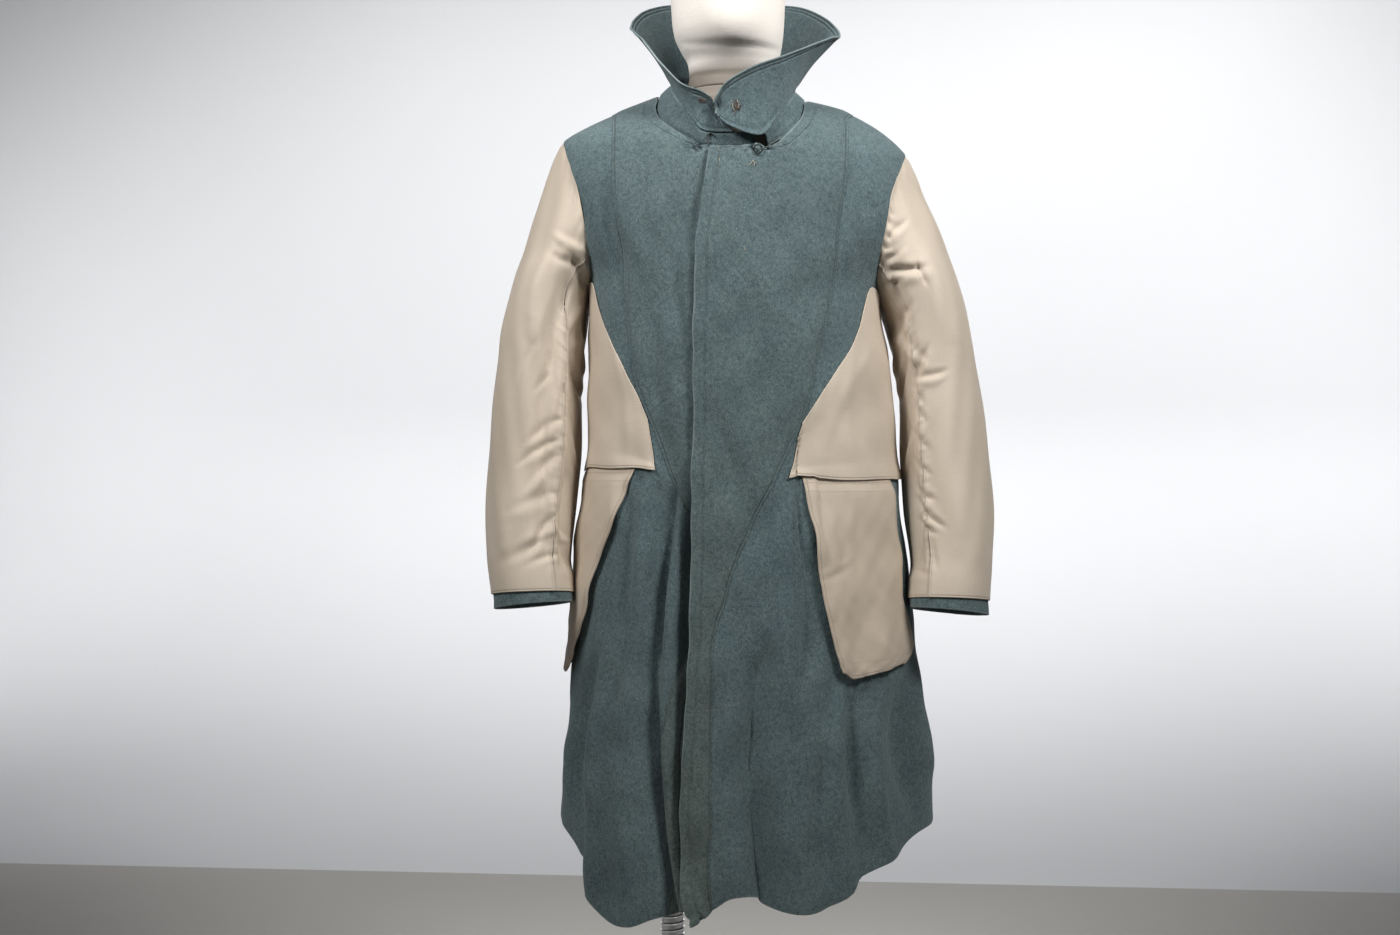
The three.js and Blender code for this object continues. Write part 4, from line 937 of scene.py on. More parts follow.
def groove_group():
    """The dent of a stitched line that runs beside an edge."""
    tree, given, out = group(
        "Stitched line",
        [
            ("Edge", "NodeSocketFloat", 0.0),
            ("Distance", "NodeSocketFloat", 6.0),
            ("Width", "NodeSocketFloat", 1.5),
        ],
        [("Dent", "NodeSocketFloat")],
    )
    off = maths(tree, "ABSOLUTE", maths(tree, "SUBTRACT", given.outputs["Edge"], given.outputs["Distance"]))
    share = maths(tree, "DIVIDE", off, given.outputs["Width"], clamp=True)
    dent = maths(tree, "SUBTRACT", 1.0, maths(tree, "SMOOTH_MIN", share, 1.0, 0.2))
    tree.links.new(dent, out.inputs["Dent"])
    return tree


def new_material(name):
    material = bpy.data.materials.new(name)
    material.use_nodes = True
    tree = material.node_tree
    shader = tree.nodes["Principled BSDF"]
    place = tree.nodes.new("ShaderNodeTexCoord").outputs["Object"]
    return tree, shader, place


def grouped(tree, name, inputs):
    node = put(tree, "ShaderNodeGroup", node_tree=bpy.data.node_groups[name])
    return feed(tree, node, inputs).outputs


def rgb(values):
    return (*values, 1)


def darker(color, share):
    return tuple(share * c for c in color)


def measured(tree, name):
    """A length that a piece's points carry."""
    return put(tree, "ShaderNodeAttribute", attribute_name=name).outputs["Fac"]


def dented(tree, shade, height, away, distance, width, deep, dark, shade_tint, blend="MULTIPLY"):
    """Presses a stitched line into a cloth, and darkens its dent with painted shade."""
    groove = grouped(tree, "Stitched line", {"Edge": away, "Distance": distance, "Width": width})
    height = maths(tree, "MULTIPLY_ADD", groove["Dent"], -deep, height)
    # painted shade: the dent's mask blends the cloth's colour towards a darker tint
    return mixed(tree, maths(tree, "MULTIPLY", groove["Dent"], dark), shade, shade_tint, blend), height


def finish_cloth(tree, shader, shade, height, strength, distance, values):
    """Joins a cloth's shade and relief to its shader, and sets the shader's even values."""
    bump = put(tree, "ShaderNodeBump", {"Height": height, "Strength": strength, "Distance": distance})
    feed(tree, shader, {"Base Color": shade, "Normal": bump.outputs[0], **values})


def wool_material(name, colors, edges, worn, seam=None):
    """Melange wool cloth with a napped face, dents of stitched lines beside its edge with painted shade in
    them, and paler worn edges.
    """
    tree, shader, place = new_material(name)
    fibres = {
        "Vector": place,
        "Dark": rgb(colors.wool_dark),
        "Middle": rgb(colors.wool_middle),
        "Pale": rgb(colors.wool_pale),
    }
    heather = grouped(tree, "Heather fibres", fibres)
    age = grouped(tree, "Age", {"Vector": place, "Size": 9.0})
    patches = grouped(tree, "Age", {"Vector": place, "Size": 46.0})
    edge = measured(tree, "edge")
    shade = mixed(tree, ranged(tree, age["Cloud"], 0, 1, 0.0, 0.4), heather["Color"], GROOVE_SHADE_AND_MOTTLE, "MULTIPLY")
    shade = mixed(tree, ranged(tree, patches["Cloud"], 0, 1, 0.0, 0.5), shade, BLUER, "MULTIPLY")
    low = put(tree, "ShaderNodeSeparateXYZ", {"Vector": place}).outputs["Z"]
    low = ranged(tree, low, 0.5, 1.15, worn, worn * 0.25)
    shade = mixed(tree, low, shade, OLIVE, "MULTIPLY")
    rubbed = maths(tree, "MULTIPLY", ranged(tree, edge, 0.3, 2.6, 0.8, 0.0), age["Cloud"])
    shade = mixed(tree, rubbed, shade, tuple(colors.wool_pale))
    height = heather["Height"]
    # painted shade: the dent of each stitched line and of the facing's seam is darkened as if shaded
    for distance in edges:
        shade, height = dented(tree, shade, height, edge, distance, 2.4, 1.3, 0.3, GROOVE_SHADE_AND_MOTTLE)
    if seam:
        shade, height = dented(tree, shade, height, measured(tree, "seam"), seam, 2.0, 1.6, 0.7, GROOVE_SHADE_AND_MOTTLE)
    finish_cloth(tree, shader, shade, height, 1.0, 0.0011, WOOL_SURFACE)


def lining_material(name, color, stain, rough, slant, edges):
    """Cotton cloth: fine threads, slow cloudiness, faint stains, and the dents of stitched lines with painted
    shade in them.
    """
    tree, shader, place = new_material(name)
    weave = grouped(tree, "Woven threads", {"Vector": place, "Count": 5200.0, "Slant": slant})
    age = grouped(tree, "Age", {"Vector": place, "Size": 7.0})
    edge = measured(tree, "edge")
    shade = mixed(tree, ranged(tree, weave["Shade"], 0, 1, 0.0, 0.3), color, darker(color, 0.74))
    shade = mixed(tree, ranged(tree, age["Cloud"], 0, 1, 0.0, 0.45), shade, stain)
    shade = mixed(tree, maths(tree, "MULTIPLY", age["Stain"], 0.35), shade, stain)
    height = weave["Height"]
    # painted shade: each stitched line's dent takes a darker copy of the cloth's colour
    for distance in edges:
        line = (distance, 1.6, 3.0, 0.35, darker(color, 0.5), "MIX")
        shade, height = dented(tree, shade, height, edge, *line)
    finish_cloth(tree, shader, shade, height, 0.4, 0.0004, {"Roughness": rough, **COTTON_SURFACE})


def metal_material(name, color, rough, smudge):
    tree, shader, place = new_material(name)
    age = grouped(tree, "Age", {"Vector": place, "Size": 40.0})
    shade = mixed(tree, ranged(tree, age["Cloud"], 0, 1, 0.0, smudge), color, darker(color, 0.6))
    tree.links.new(shade, shader.inputs["Base Color"])
    tree.links.new(ranged(tree, age["Cloud"], 0, 1, rough, rough + 0.12), shader.inputs["Roughness"])
    shader.inputs["Metallic"].default_value = 1.0


def thread_material(name, color):
    tree, shader, place = new_material(name)
    twist = noise(tree, place, 900, 1)
    shade = mixed(tree, ranged(tree, twist, 0.4, 0.6), color, darker(color, 0.6))
    tree.links.new(shade, shader.inputs["Base Color"])
    shader.inputs["Roughness"].default_value = 0.7


def plain_material(name, color, rough):
    tree, shader, place = new_material(name)
    cloud = noise(tree, place, 2.2, 3)
    shade = mixed(tree, ranged(tree, cloud, 0.3, 0.7, 0.0, 0.06), tuple(color), darker(color, 0.8))
    tree.links.new(shade, shader.inputs["Base Color"])
    shader.inputs["Roughness"].default_value = rough


def paint_shade_below(name, low, high, shade_tint):
    """Tints a cloth below a level with painted shade, so that the form's neck, under the chin and the collar,
    is darker than its head.
    """
    tree = bpy.data.materials[name].node_tree
    base = tree.nodes["Principled BSDF"].inputs["Base Color"]
    place = tree.nodes.new("ShaderNodeTexCoord").outputs["Object"]
    level = put(tree, "ShaderNodeSeparateXYZ", {"Vector": place}).outputs["Z"]
    shade = base.links[0].from_socket
    tree.links.new(mixed(tree, ranged(tree, level, low, high, 1.0, 0.0), shade, shade_tint, "MULTIPLY"), base)


def build_materials(colors):
    heather_group()
    weave_group()
    age_group()
    groove_group()
    wool_material("Wool", colors, [], 0.25)
    wool_material("Facing wool", colors, [15.5], 1.0, 3.0)
    wool_material("Collar wool", colors, [4.5, 9.5], 0.2)
    lining_material("Satin", tuple(colors.satin), tuple(colors.satin_stain), 0.52, 0.6, [2.5])
    lining_material("Twill", tuple(colors.twill), tuple(colors.twill_stain), 0.75, 1.0, [4.0])
    lining_material("Linen", tuple(colors.linen), darker(colors.linen, 0.86), 0.85, 0.0, [])
    # painted shadow: all linen below the chin, the neck and the torso, is darkened as if shaded by the chin
    # and collar
    paint_shade_below("Linen", 1.488, 1.502, (0.25, 0.23, 0.21))
    metal_material("Chrome", (0.8, 0.81, 0.82), 0.12, 0.1)
    metal_material("Steel", (0.45, 0.46, 0.47), 0.35, 0.2)
    metal_material("Black wire", tuple(colors.wire), 0.4, 0.3)
    for name, color in THREAD_COLORS.items():
        thread_material(name, color)
    plain_material("Wall", colors.wall, 0.9)
    plain_material("Floor", colors.floor, 0.7)


# Geometry Nodes: stitches along lines, and the ribs of the pole


def node_modifier(made, tree, values):
    modifier = made.modifiers.new("Nodes", "NODES")
    modifier.node_group = tree
    for item in tree.interface.items_tree:
        if item.item_type == "SOCKET" and item.in_out == "INPUT" and item.name in values:
            modifier[item.identifier] = values[item.name]
    return modifier


def realized(made, name):
    """Turns an object with a nodes modifier into a plain mesh object."""
    depsgraph = bpy.context.evaluated_depsgraph_get()
    mesh = bpy.data.meshes.new_from_object(made.evaluated_get(depsgraph))
    mesh.name = name
    bpy.data.objects.remove(made)
    piece = bpy.data.objects.new(name, mesh)
    bpy.context.scene.collection.objects.link(piece)
    return piece


def geometry_tree(name, inputs):
    tree = bpy.data.node_groups.new(name, "GeometryNodeTree")
    tree.interface.new_socket(name="Geometry", in_out="OUTPUT", socket_type="NodeSocketGeometry")
    add_inputs(tree, [("Geometry", "NodeSocketGeometry", None), *inputs])
    return tree, tree.nodes.new("NodeGroupInput").outputs, tree.nodes.new("NodeGroupOutput")


def tube(tree, line, radius):
    profile = put(tree, "GeometryNodeCurvePrimitiveCircle", {"Resolution": 6, "Radius": radius})
    inputs = {"Curve": line, "Profile Curve": profile.outputs[0], "Fill Caps": True}
    return put(tree, "GeometryNodeCurveToMesh", inputs).outputs[0]


def finish_tree(tree, out, geometry, material):
    """Makes a tree's instances real, gives them a material and joins them to its output."""
    real = put(tree, "GeometryNodeRealizeInstances", {"Geometry": geometry})
    done = put(tree, "GeometryNodeSetMaterial", {"Geometry": real.outputs[0], "Material": material})
    tree.links.new(done.outputs[0], out.inputs[0])
    return tree


def stitch_tree():
    """One small round-ended thread for each stitch along every line."""
    tree, given, out = geometry_tree(
        "Stitches",
        [
            ("Pitch", "NodeSocketFloat", 0.0035),
            ("Length", "NodeSocketFloat", 0.0026),
            ("Thread radius", "NodeSocketFloat", 0.00025),
            ("Thread", "NodeSocketMaterial", None),
        ],
    )
    inputs = {"Curve": given["Geometry"], "Length": given["Pitch"]}
    points = put(tree, "GeometryNodeCurveToPoints", inputs, mode="LENGTH")
    bead = put(tree, "GeometryNodeMeshUVSphere", {"Segments": 5, "Rings": 4, "Radius": 1.0})
    half = maths(tree, "MULTIPLY", given["Length"], 0.5)
    radius = given["Thread radius"]
    size = put(tree, "ShaderNodeCombineXYZ", {"X": radius, "Y": radius, "Z": half})
    inputs = {
        "Points": points.outputs["Points"],
        "Instance": bead.outputs["Mesh"],
        "Rotation": points.outputs["Rotation"],
        "Scale": size.outputs[0],
    }
    stitches = put(tree, "GeometryNodeInstanceOnPoints", inputs)
    return finish_tree(tree, out, stitches.outputs[0], given["Thread"])


def thread_tree():
    """A round thread along every line."""
    tree, given, out = geometry_tree(
        "Loose threads",
        [("Thread radius", "NodeSocketFloat", 0.0003), ("Thread", "NodeSocketMaterial", None)],
    )
    return finish_tree(tree, out, tube(tree, given["Geometry"], given["Thread radius"]), given["Thread"])


def rib_tree():
    """A ridge that winds up the pole."""
    tree, given, out = geometry_tree(
        "Pole ribs",
        [
            ("Radius", "NodeSocketFloat", 0.015),
            ("Height", "NodeSocketFloat", 0.7),
            ("Turns", "NodeSocketFloat", 80.0),
            ("Rib", "NodeSocketFloat", 0.002),
            ("Metal", "NodeSocketMaterial", None),
        ],
    )
    inputs = {
        "Resolution": 28,
        "Rotations": given["Turns"],
        "Start Radius": given["Radius"],
        "End Radius": given["Radius"],
        "Height": given["Height"],
        "Reverse": True,
    }
    ridge = tube(tree, put(tree, "GeometryNodeCurveSpiral", inputs).outputs[0], given["Rib"])
    smoothed = put(tree, "GeometryNodeSetShadeSmooth", {"Geometry": ridge})
    return finish_tree(tree, out, smoothed.outputs[0], given["Metal"])


def line_object(name, lines):
    """A curve object with one open line for each list of points in mm."""
    data = bpy.data.curves.new(name, "CURVE")
    data.dimensions = "3D"
    for line in lines:
        spline = data.splines.new("POLY")
        spline.points.add(len(line) - 1)
        places = np.column_stack([np.asarray(line) * MM, np.ones(len(line))])
        spline.points.foreach_set("co", places.ravel())
    made = bpy.data.objects.new(name, data)
    bpy.context.scene.collection.objects.link(made)
    return made


def mesh_from_tree(name, tree, values, source):
    node_modifier(source, tree, values)
    return realized(source, name)


# The pieces


def settings(name):
    return getattr(bpy.context.scene, "overcoat_" + name)


def thick(name):
    """A cloth's thickness in millimetres."""
    return getattr(settings("sizes"), name) / MM


def cloth(name):
    return bpy.data.materials[name]


def sew(thread, mid, normal, side, distances, lift):
    """Notes lines of stitches that run beside one side of a piece."""
    for distance in distances:
        THREADS[thread].append(line_at(mid, normal, side, distance, lift))


def placed(piece, node):
    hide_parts(node)
    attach(piece, "root")
    return piece


def hang(piece, mid):
    """Measures the flat width and length that the grid of a cloth piece was cut to."""
    width = lengths_along(mid, 1)[:, -1].max() * MM
    length = lengths_along(mid, 0)[-1].max() * MM


def layer_of(side):
    return OVER if side > 0 else UNDER


def name_of(side):
    return "left" if side > 0 else "right"


def outward_at(turn):
    return np.stack([np.sin(np.radians(turn)), -np.cos(np.radians(turn)), 0 * turn], -1)


def seen_off(mid, normal, creases):
    """How far the creases that are placed by the view's pixels raise a cloth."""
    away = mid[..., 1] - EYE[1]
    u = VIEW_MIDDLE[0] + VIEW_SCALE * (mid[..., 0] - EYE[0]) / away
    v = VIEW_MIDDLE[1] - VIEW_SCALE * (mid[..., 2] - EYE[2]) / away
    rows = [(a, b, c, d, half / PIXEL, deep) for a, b, c, d, half, deep in creases]
    return crease_depth(u, v, rows) * smooth(-normal[..., 1] * 2.2)


def body_grid(places, layer, lift=0.0):
    """The middle points of a layer of cloth on the coat's body, and whether its faces run the other way."""
    turn, z = places[..., 0], places[..., 1]
    mid = coat_point(turn, z, layer)
    normal = normals_of(mid, False, False)
    flip = bool((normal * outward_at(turn)).sum() < 0)
    if flip:
        normal = -normal
    if layer != BACK:
        mid = mid + outward_at(turn) * seen_off(mid, normal, SKIRT_CREASES[layer])[..., None]
        normal = normals_of(mid, False, flip)
    off = np.asarray(panel_lift(layer, turn) + lift)
    return mid + normal * off[..., None], flip


def build_front(side):
    """A front, and the facing that lies on it."""
    layer, name = layer_of(side), name_of(side)
    facing_rows, panel_rows = front_rows(layer, rim(FRONT_DETAIL, 190, WOOL_EDGE))
    both = np.concatenate([facing_rows, panel_rows], 1)
    places = row_places(body_point(both[..., 0], both[..., 1], layer), ROW_DETAIL, WOOL_EDGE, 0.5)
    facing = blend_rows(facing_rows, [CORNER_ROW], places)
    panel = blend_rows(panel_rows, [CORNER_ROW], places)
    whole = np.concatenate([facing[:, :-3:2], panel[:, 3:]], 1)
    mid, flip = body_grid(whole, layer)
    marks = {"edge": edge_distance(mid, ["bottom"])}
    piece, _ = shell("wool_front_" + name, mid, thick("wool"), cloth("Wool"), flip, marks=marks)
    hang(placed(piece, "front_" + name), mid)
    mid, flip = body_grid(facing, layer)
    away = edge_distance(mid, ["last"])
    wall = thick("facing") * mix(0.3, 1, smooth(away / 16))
    mid, flip = body_grid(facing, layer, thick("wool") / 2 + 0.35 + wall / 2)
    marks = {"edge": edge_distance(mid, ["first"]), "seam": away}
    piece, normal = shell("wool_facing_" + name, mid, wall, cloth("Facing wool"), flip, marks=marks)
    hang(placed(piece, "facing_" + name), mid)
    run = slice(6, -6)
    for edge, distance, lift in (("first", 15.5, 0.5), ("last", 2.8, 0.17), ("last", 9, 0.38)):
        sew("Wool thread", mid[run], normal[run], edge, [distance], thick("facing") * lift)


def build_back(side):
    name = name_of(side)
    rows = back_rows(side, rim(BACK_DETAIL, 250, WOOL_EDGE))
    places = row_places(body_point(rows[..., 0], rows[..., 1], BACK), BACK_ROW_DETAIL, WOOL_EDGE)
    mid, flip = body_grid(blend_rows(rows, [], places), BACK)
    marks = {"edge": edge_distance(mid, ["bottom"])}
    piece, normal = shell("wool_back_" + name, mid, thick("wool"), cloth("Wool"), flip, marks=marks)
    hang(placed(piece, "back_" + name), mid)
    for edge in ("first", "last"):
        sew("Wool thread", mid, normal, edge, [6], thick("wool") / 2)


def build_side_lining(side):
    layer, name = layer_of(side), name_of(side)
    bottom, corner, edge = LININGS[layer]
    top = table_curve(edge, "turn", "z")
    end = edge["turn"][-1]
    across, rise = np.meshgrid(rim(80, 300, SATIN_EDGE), rim(52, 190, SATIN_EDGE))
    top_turn = mix(edge["turn"][0], end, across)
    turn = side * mix(mix(corner, end, across), top_turn, rise)
    sag = 2.2 * np.sin(across * 11 + side) + 1.2 * np.sin(across * 23)
    z = mix(bottom + sag * (1 - rise) ** 3, top(top_turn), rise)
    mid, flip = body_grid(np.stack([turn, z], -1), layer, thick("wool") / 2 + 1.0 + thick("lining") / 2)
    normal = normals_of(mid, False, flip)
    puckers = crease_depth(turn * side * DEGREE, z, LINING_CREASES[layer])
    near_top = np.exp(-(((1 - rise) / 0.12) ** 2))
    puckers = puckers + 0.5 * np.sin(across * 70 + 3 * np.sin(across * 9)) * near_top
    puckers = puckers + 2.0 * smooth((0.14 - rise) / 0.14)
    mid = mid + normal * np.clip(puckers, -0.5, 4)[..., None]
    marks = {"edge": edge_distance(mid, ["first", "bottom"])}
    satin = cloth("Satin")
    piece, normal = shell("satin_side_" + name, mid, thick("lining"), satin, flip, marks=marks)
    hang(placed(piece, "side_lining_" + name), mid)
    sew("Cotton thread", mid, normal, "bottom", [3], thick("lining") / 2)


def build_bag(side):
    layer, name = layer_of(side), name_of(side)
    table = BAGS[layer]
    level = np.arange(len(table["front"]))
    read = {key: curve(level, table[key]) for key in table}
    across, down = np.meshgrid(rim(44, 110, WOOL_EDGE), rim(84, 270, WOOL_EDGE))
    k = down * level[-1]
    turn = side * mix(read["front"](k), read["back"](k), across)
    dip = 10 * smooth(across / 0.2) * (1 - smooth((across - 0.2) / 0.7))
    z = mix(read["z_front"](k), read["z_back"](k), across) - dip * smooth((down - 0.6) / 0.4)
    wave = BAG_WAVE[layer] * np.sin(down * 15 + 1) * smooth(down * 4) * smooth((1 - down) * 5)
    turn = turn + side * wave * (1 - across) + 0.3 * np.sin(down * 22) * across
    below = smooth(down / 0.07)
    wall = thick("bag") * mix(0.3, 1, below)
    mid, flip = body_grid(np.stack([turn, z], -1), layer)
    lift = thick("wool") / 2 + mix(0.5, 1.6, below) + wall / 2
    puff = below * seen_off(mid, normals_of(mid, False, flip), BAG_CREASES[layer])
    free = smooth(down / 0.35) * (1 - across) ** 2 * 6 + smooth(down / 0.5) * np.sin(np.pi * across) * 2.5
    puff = puff + free + below * 0.35 * np.sin(across * 31 + down * 5) * np.sin(down * 43)
    mid = mid + outward_at(turn) * (lift + np.maximum(puff, -0.8))[..., None]
    marks = {"edge": edge_distance(mid, ["first", "last", "top"])}
    piece, normal = shell("twill_bag_" + name, mid, wall, cloth("Twill"), flip, marks=marks)
    hang(placed(piece, "pocket_bag_" + name), mid)
    for edge, distances in (("first", [4]), ("last", [4]), ("top", [21]), ("bottom", [8, 20])):
        sew("Cotton thread", mid, normal, edge, distances, thick("bag") / 2)


def sleeve_point(station, share, side):
    """A point of a sleeve at a station round it and at a share of the way down, before its creases."""
    layer = layer_of(side)
    read = {key: table_curve(SLEEVES[layer], "z", key) for key in ("outer", "inner", "middle", "deep")}
    angle = np.radians(station)

    def section(z):
        centre = (read["outer"](z) + read["inner"](z)) / 2
        half = (read["outer"](z) - read["inner"](z)) / 2
        y = read["middle"](z) - read["deep"](z) * np.sin(angle)
        return np.stack([centre + half * np.cos(angle), y, z], -1)

    turn, z0 = armhole(station, side)
    start = body_point(turn, z0, "plain")
    below = ((1 - np.cos(angle)) / 2) ** 2
    start[..., 0] += side * (HEAD_GAP + ARMPIT_GAP * below)
    end = CUFF_END[layer] - CUFF_SLANT * np.cos(angle) + CUFF_TILT * np.sin(angle)
    z = mix(z0, end, share)
    off = start - section(z0)
    return section(z) + off * (1 - smooth(share / HEAD_BLEND))[..., None]


def sleeve_cloth(station, share, side):
    """The same with its creases, the puckers beside its seams and its slow unevenness."""
    mid = sleeve_point(station, share, side)
    normal = normals_of(mid, False, side < 0)
    around = np.mod(station + 110, 360) - 110
    down = share * SLEEVE_LENGTH
    off = 0.62 * seen_off(mid, normal, SLEEVE_CREASES[layer_of(side)])
    off = off + crease_depth(around * SLEEVE_DEGREE, down, HIDDEN_CREASES)
    off = off + 1.2 * np.sin(around * 0.07 + down * 0.021) + 0.45 * np.sin(around * 0.16 - down * 0.047 + 1)
    for seam in (FORE_SEAM, HIND_SEAM):
        beside = np.exp(-(((around - seam) / 10) ** 2))
        gathered = 0.3 * np.sin(down * 0.24 + 2.2 * np.sin(down * 0.05))
        gathered = gathered + 0.18 * np.sin(down * 0.57 + around * 0.2)
        off = off + beside * gathered * smooth((down - 40) / 60)
    head = np.exp(-((share / 0.03) ** 2)) * 0.7 * np.sin(around * 0.55 + 2 * np.sin(around * 0.08))
    off = off - 7 * smooth((around - FORE_SEAM - 2) / 16) * smooth((202 - around) / 30) * smooth(share / 0.14)
    off = off * (1 - 0.95 * smooth((share - 0.86) / 0.06))
    off = (off + head) * smooth(share / 0.016)
    return mid + normal * off[..., None]


def build_sleeve(side):
    name = name_of(side)
    satin = cloth("Satin")
    gap = half_gap(60)
    length = ARMHOLE["middle"] - CUFF_END[layer_of(side)]
    last = 1 - CUFF_BAND / length
    for part, first, end, count in (
        ("top", HIND_SEAM - 360, FORE_SEAM, SLEEVE_DETAIL),
        ("under", FORE_SEAM, HIND_SEAM, SLEEVE_DETAIL // 2),
    ):
        width = (end - first) * SLEEVE_DEGREE
        shares = last * rim(SLEEVE_ROWS, 500, SATIN_EDGE)
        around = mix(first + gap, end - gap, rim(count, width, SATIN_EDGE))
        station, share = np.meshgrid(around, shares)
        mid = sleeve_cloth(station, share, side)
        if part == "top":
            normal = normals_of(mid, False, side < 0)
            mid = mid + normal * (1.8 * np.exp(-((edge_distance(mid, ["last"]) / 3.5) ** 2)))[..., None]
        marks = {"edge": edge_distance(mid, ["first", "last", "top"])}
        title = "%s_%s" % (part, name)
        piece, normal = shell("satin_sleeve_" + title, mid, thick("lining"), satin, side < 0, marks=marks)
        hang(placed(piece, "sleeve_" + title), mid)
        sew("Cotton thread", mid, normal, "top", [2.5], thick("lining") / 2)
    shares = mix(1 - (CUFF_BAND + CUFF_TUCK) / length, 1, rim(18, 38, WOOL_EDGE))
    station, share = np.meshgrid(np.arange(0, 360, 2.0), shares)
    mid = sleeve_point(station, share, side)
    normal = normals_of(mid, True, side < 0)
    wave = 0.7 * np.sin(np.radians(station) * 5 + side) + 1.6 * np.exp(-(((station - 112) / 6) ** 2))
    wave = wave * smooth((share - last) / 0.02)
    mid = mid - normal * (thick("lining") / 2 + CUFF_GAP + thick("wool") / 2 - wave)[..., None]
    marks = {"edge": edge_distance(mid, ["top"])}
    wool = cloth("Wool")
    piece, _ = shell("wool_cuff_" + name, mid, thick("wool"), wool, side < 0, wrap=True, marks=marks)
    hang(placed(piece, "cuff_" + name), mid)


def to_neck(mid):
    """Unit steps from points of the collar level towards the middle of the neck."""
    inward = np.stack([MIDLINE - mid[..., 0], COLLAR_CENTRE - mid[..., 1], 0 * mid[..., 0]], -1)
    return inward / np.linalg.norm(inward, axis=-1, keepdims=True)


def build_collar(side):
    layer, name = layer_of(side), name_of(side)
    table = COLLAR[layer]
    last = len(table["nx"]) - 1
    at = np.arange(last + 1)
    line = {p: curve(at, np.stack([table[p + axis] for axis in "xyz"], -1)) for p in "nfe"}
    start = STAND_STATION[layer]
    end = last - 0.004
    along, up = rim(100, 230, WOOL_EDGE), rim(20, 40, STAND_EDGE)
    k, t = np.meshgrid(mix(start, end, along), mix(-0.14, 1.04, up))
    low = line["n"](mix(0, last, (k - start) / (last - start)))
    mid = mix(low, line["f"](k), t[..., None])
    tuck = 2.2 * smooth((0.16 - t) / 0.2) + 2.9 * smooth((t - 0.8) / 0.16)
    tuck = tuck + 0.7 * np.sin(k * 2.6 + 2) * np.sin(np.pi * t)
    mid = mid + to_neck(mid) * tuck[..., None]
    marks = {"edge": edge_distance(mid, ["bottom", "top"])}
    wool = cloth("Wool")
    piece, _ = shell("wool_stand_" + name, mid, thick("wool"), wool, side < 0, marks=marks)
    hang(placed(piece, "collar_stand_" + name), mid)
    along, up = rim(140, 330, WOOL_EDGE), rim(46, 90, WOOL_EDGE)
    k, t = np.meshgrid(mix(FALL_STATION[layer], end, along), up)
    mid = mix(line["f"](k), line["e"](k), t[..., None])
    bow = FALL_BOW * np.sin(np.pi * t) - 1.6 * smooth((t - 0.9) / 0.1)
    bow = bow + 0.9 * np.sin(k * 3.1 + 1) * np.sin(np.pi * t) + 0.5 * np.sin(k * 7.3 + t * 9) * t
    bow = bow + 1.2 * np.exp(-(((t - 0.09) / 0.05) ** 2)) - 1.0 * smooth((0.05 - t) / 0.05)
    mid = mid + to_neck(mid) * bow[..., None]
    marks = {"edge": edge_distance(mid, ["first", "top"])}
    collar = cloth("Collar wool")
    piece, normal = shell("wool_fall_" + name, mid, thick("wool"), collar, side < 0, marks=marks)
    hang(placed(piece, "collar_fall_" + name), mid)
    for off in (4.5, 9.5):
        for face in (1, -1):
            sew("Wool thread", mid, normal, "top", [off], face * thick("wool") / 2)
        sew("Wool thread", mid, normal, "first", [off], thick("wool") / 2)


def lofted(name, rings, material):
    """A closed solid through a stack of rings, with a fan at each end."""
    rows, cols = rings.shape[:2]
    points = np.concatenate([rings.reshape(-1, 3), rings[:1].mean(1), rings[-1:].mean(1)])
    index = np.arange(rows * cols).reshape(rows, cols)
    nearby = np.roll(index, -1, 1)
    faces = np.stack([index[:-1], nearby[:-1], nearby[1:], index[1:]], -1).reshape(-1, 4).tolist()
    faces += [[int(b), int(a), rows * cols] for a, b in zip(index[0], nearby[0])]
    faces += [[int(a), int(b), rows * cols + 1] for a, b in zip(index[-1], nearby[-1])]
    return mesh_object(name, points, faces, {}, material)


def ovals(table, levels, count):
    """Rings of the head and neck, whose front and back differ in depth."""
    read = {key: table_curve(table, "z", key) for key in ("wide", "front", "back", "x")}
    turn, z = np.meshgrid(np.radians(np.arange(count) * 360 / count - 180), levels)
    deep = np.where(np.cos(turn) > 0, -read["front"](z), read["back"](z))
    return np.stack([read["x"](z) + read["wide"](z) * np.sin(turn), -deep * np.cos(turn), z], -1)


def build_head():
    head = ovals(HEAD, np.linspace(HEAD["z"][0], HEAD["z"][-1], 100), HEAD_DETAIL)
    turn = np.degrees(np.arctan2(head[..., 0] + 10, -head[..., 1]))
    z = head[..., 2]
    chin = np.exp(-(((z - 1517 - 0.0016 * (turn - 20) ** 2) / 4.5) ** 2))
    chin = chin * smooth((95 - np.abs(turn - 6)) / 50)
    seam = np.exp(-(((z - 1482 + 0.06 * turn) / 1.6) ** 2))
    soft = 0.8 * np.sin(turn * 0.07 + z * 0.09) * smooth((1515 - z) / 20)
    head[..., 1] += 3.4 * chin
    head[..., :2] *= (1 - (seam * 1.2 + soft * 0.6) / 70)[..., None]
    placed(lofted("linen_head", head, cloth("Linen")), "form_head")


def build_torso():
    inset = table_curve(FORM_INSET, "z", "inset")
    turn, z = np.meshgrid(np.arange(HEAD_DETAIL) * 360 / HEAD_DETAIL - 180, np.linspace(790, 1444, 90))
    torso = body_point(turn, z, "plain")
    normal = normals_of(torso, True, False)
    normal *= np.sign((normal * outward_at(turn)).sum())
    torso = torso - normal * inset(z)[..., None]
    torso[..., 2] = np.where(z < 1000, z, torso[..., 2])
    neck = ovals(NECK, np.array([1452, 1455, 1458, 1462, 1466, 1468]), HEAD_DETAIL)
    rings = np.concatenate([torso, neck])
    placed(lofted("linen_torso", rings, cloth("Linen")), "form_torso")


def finish_node(node, material):
    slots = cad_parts[node].data.materials
    slots.clear()
    slots.append(bpy.data.materials[material])


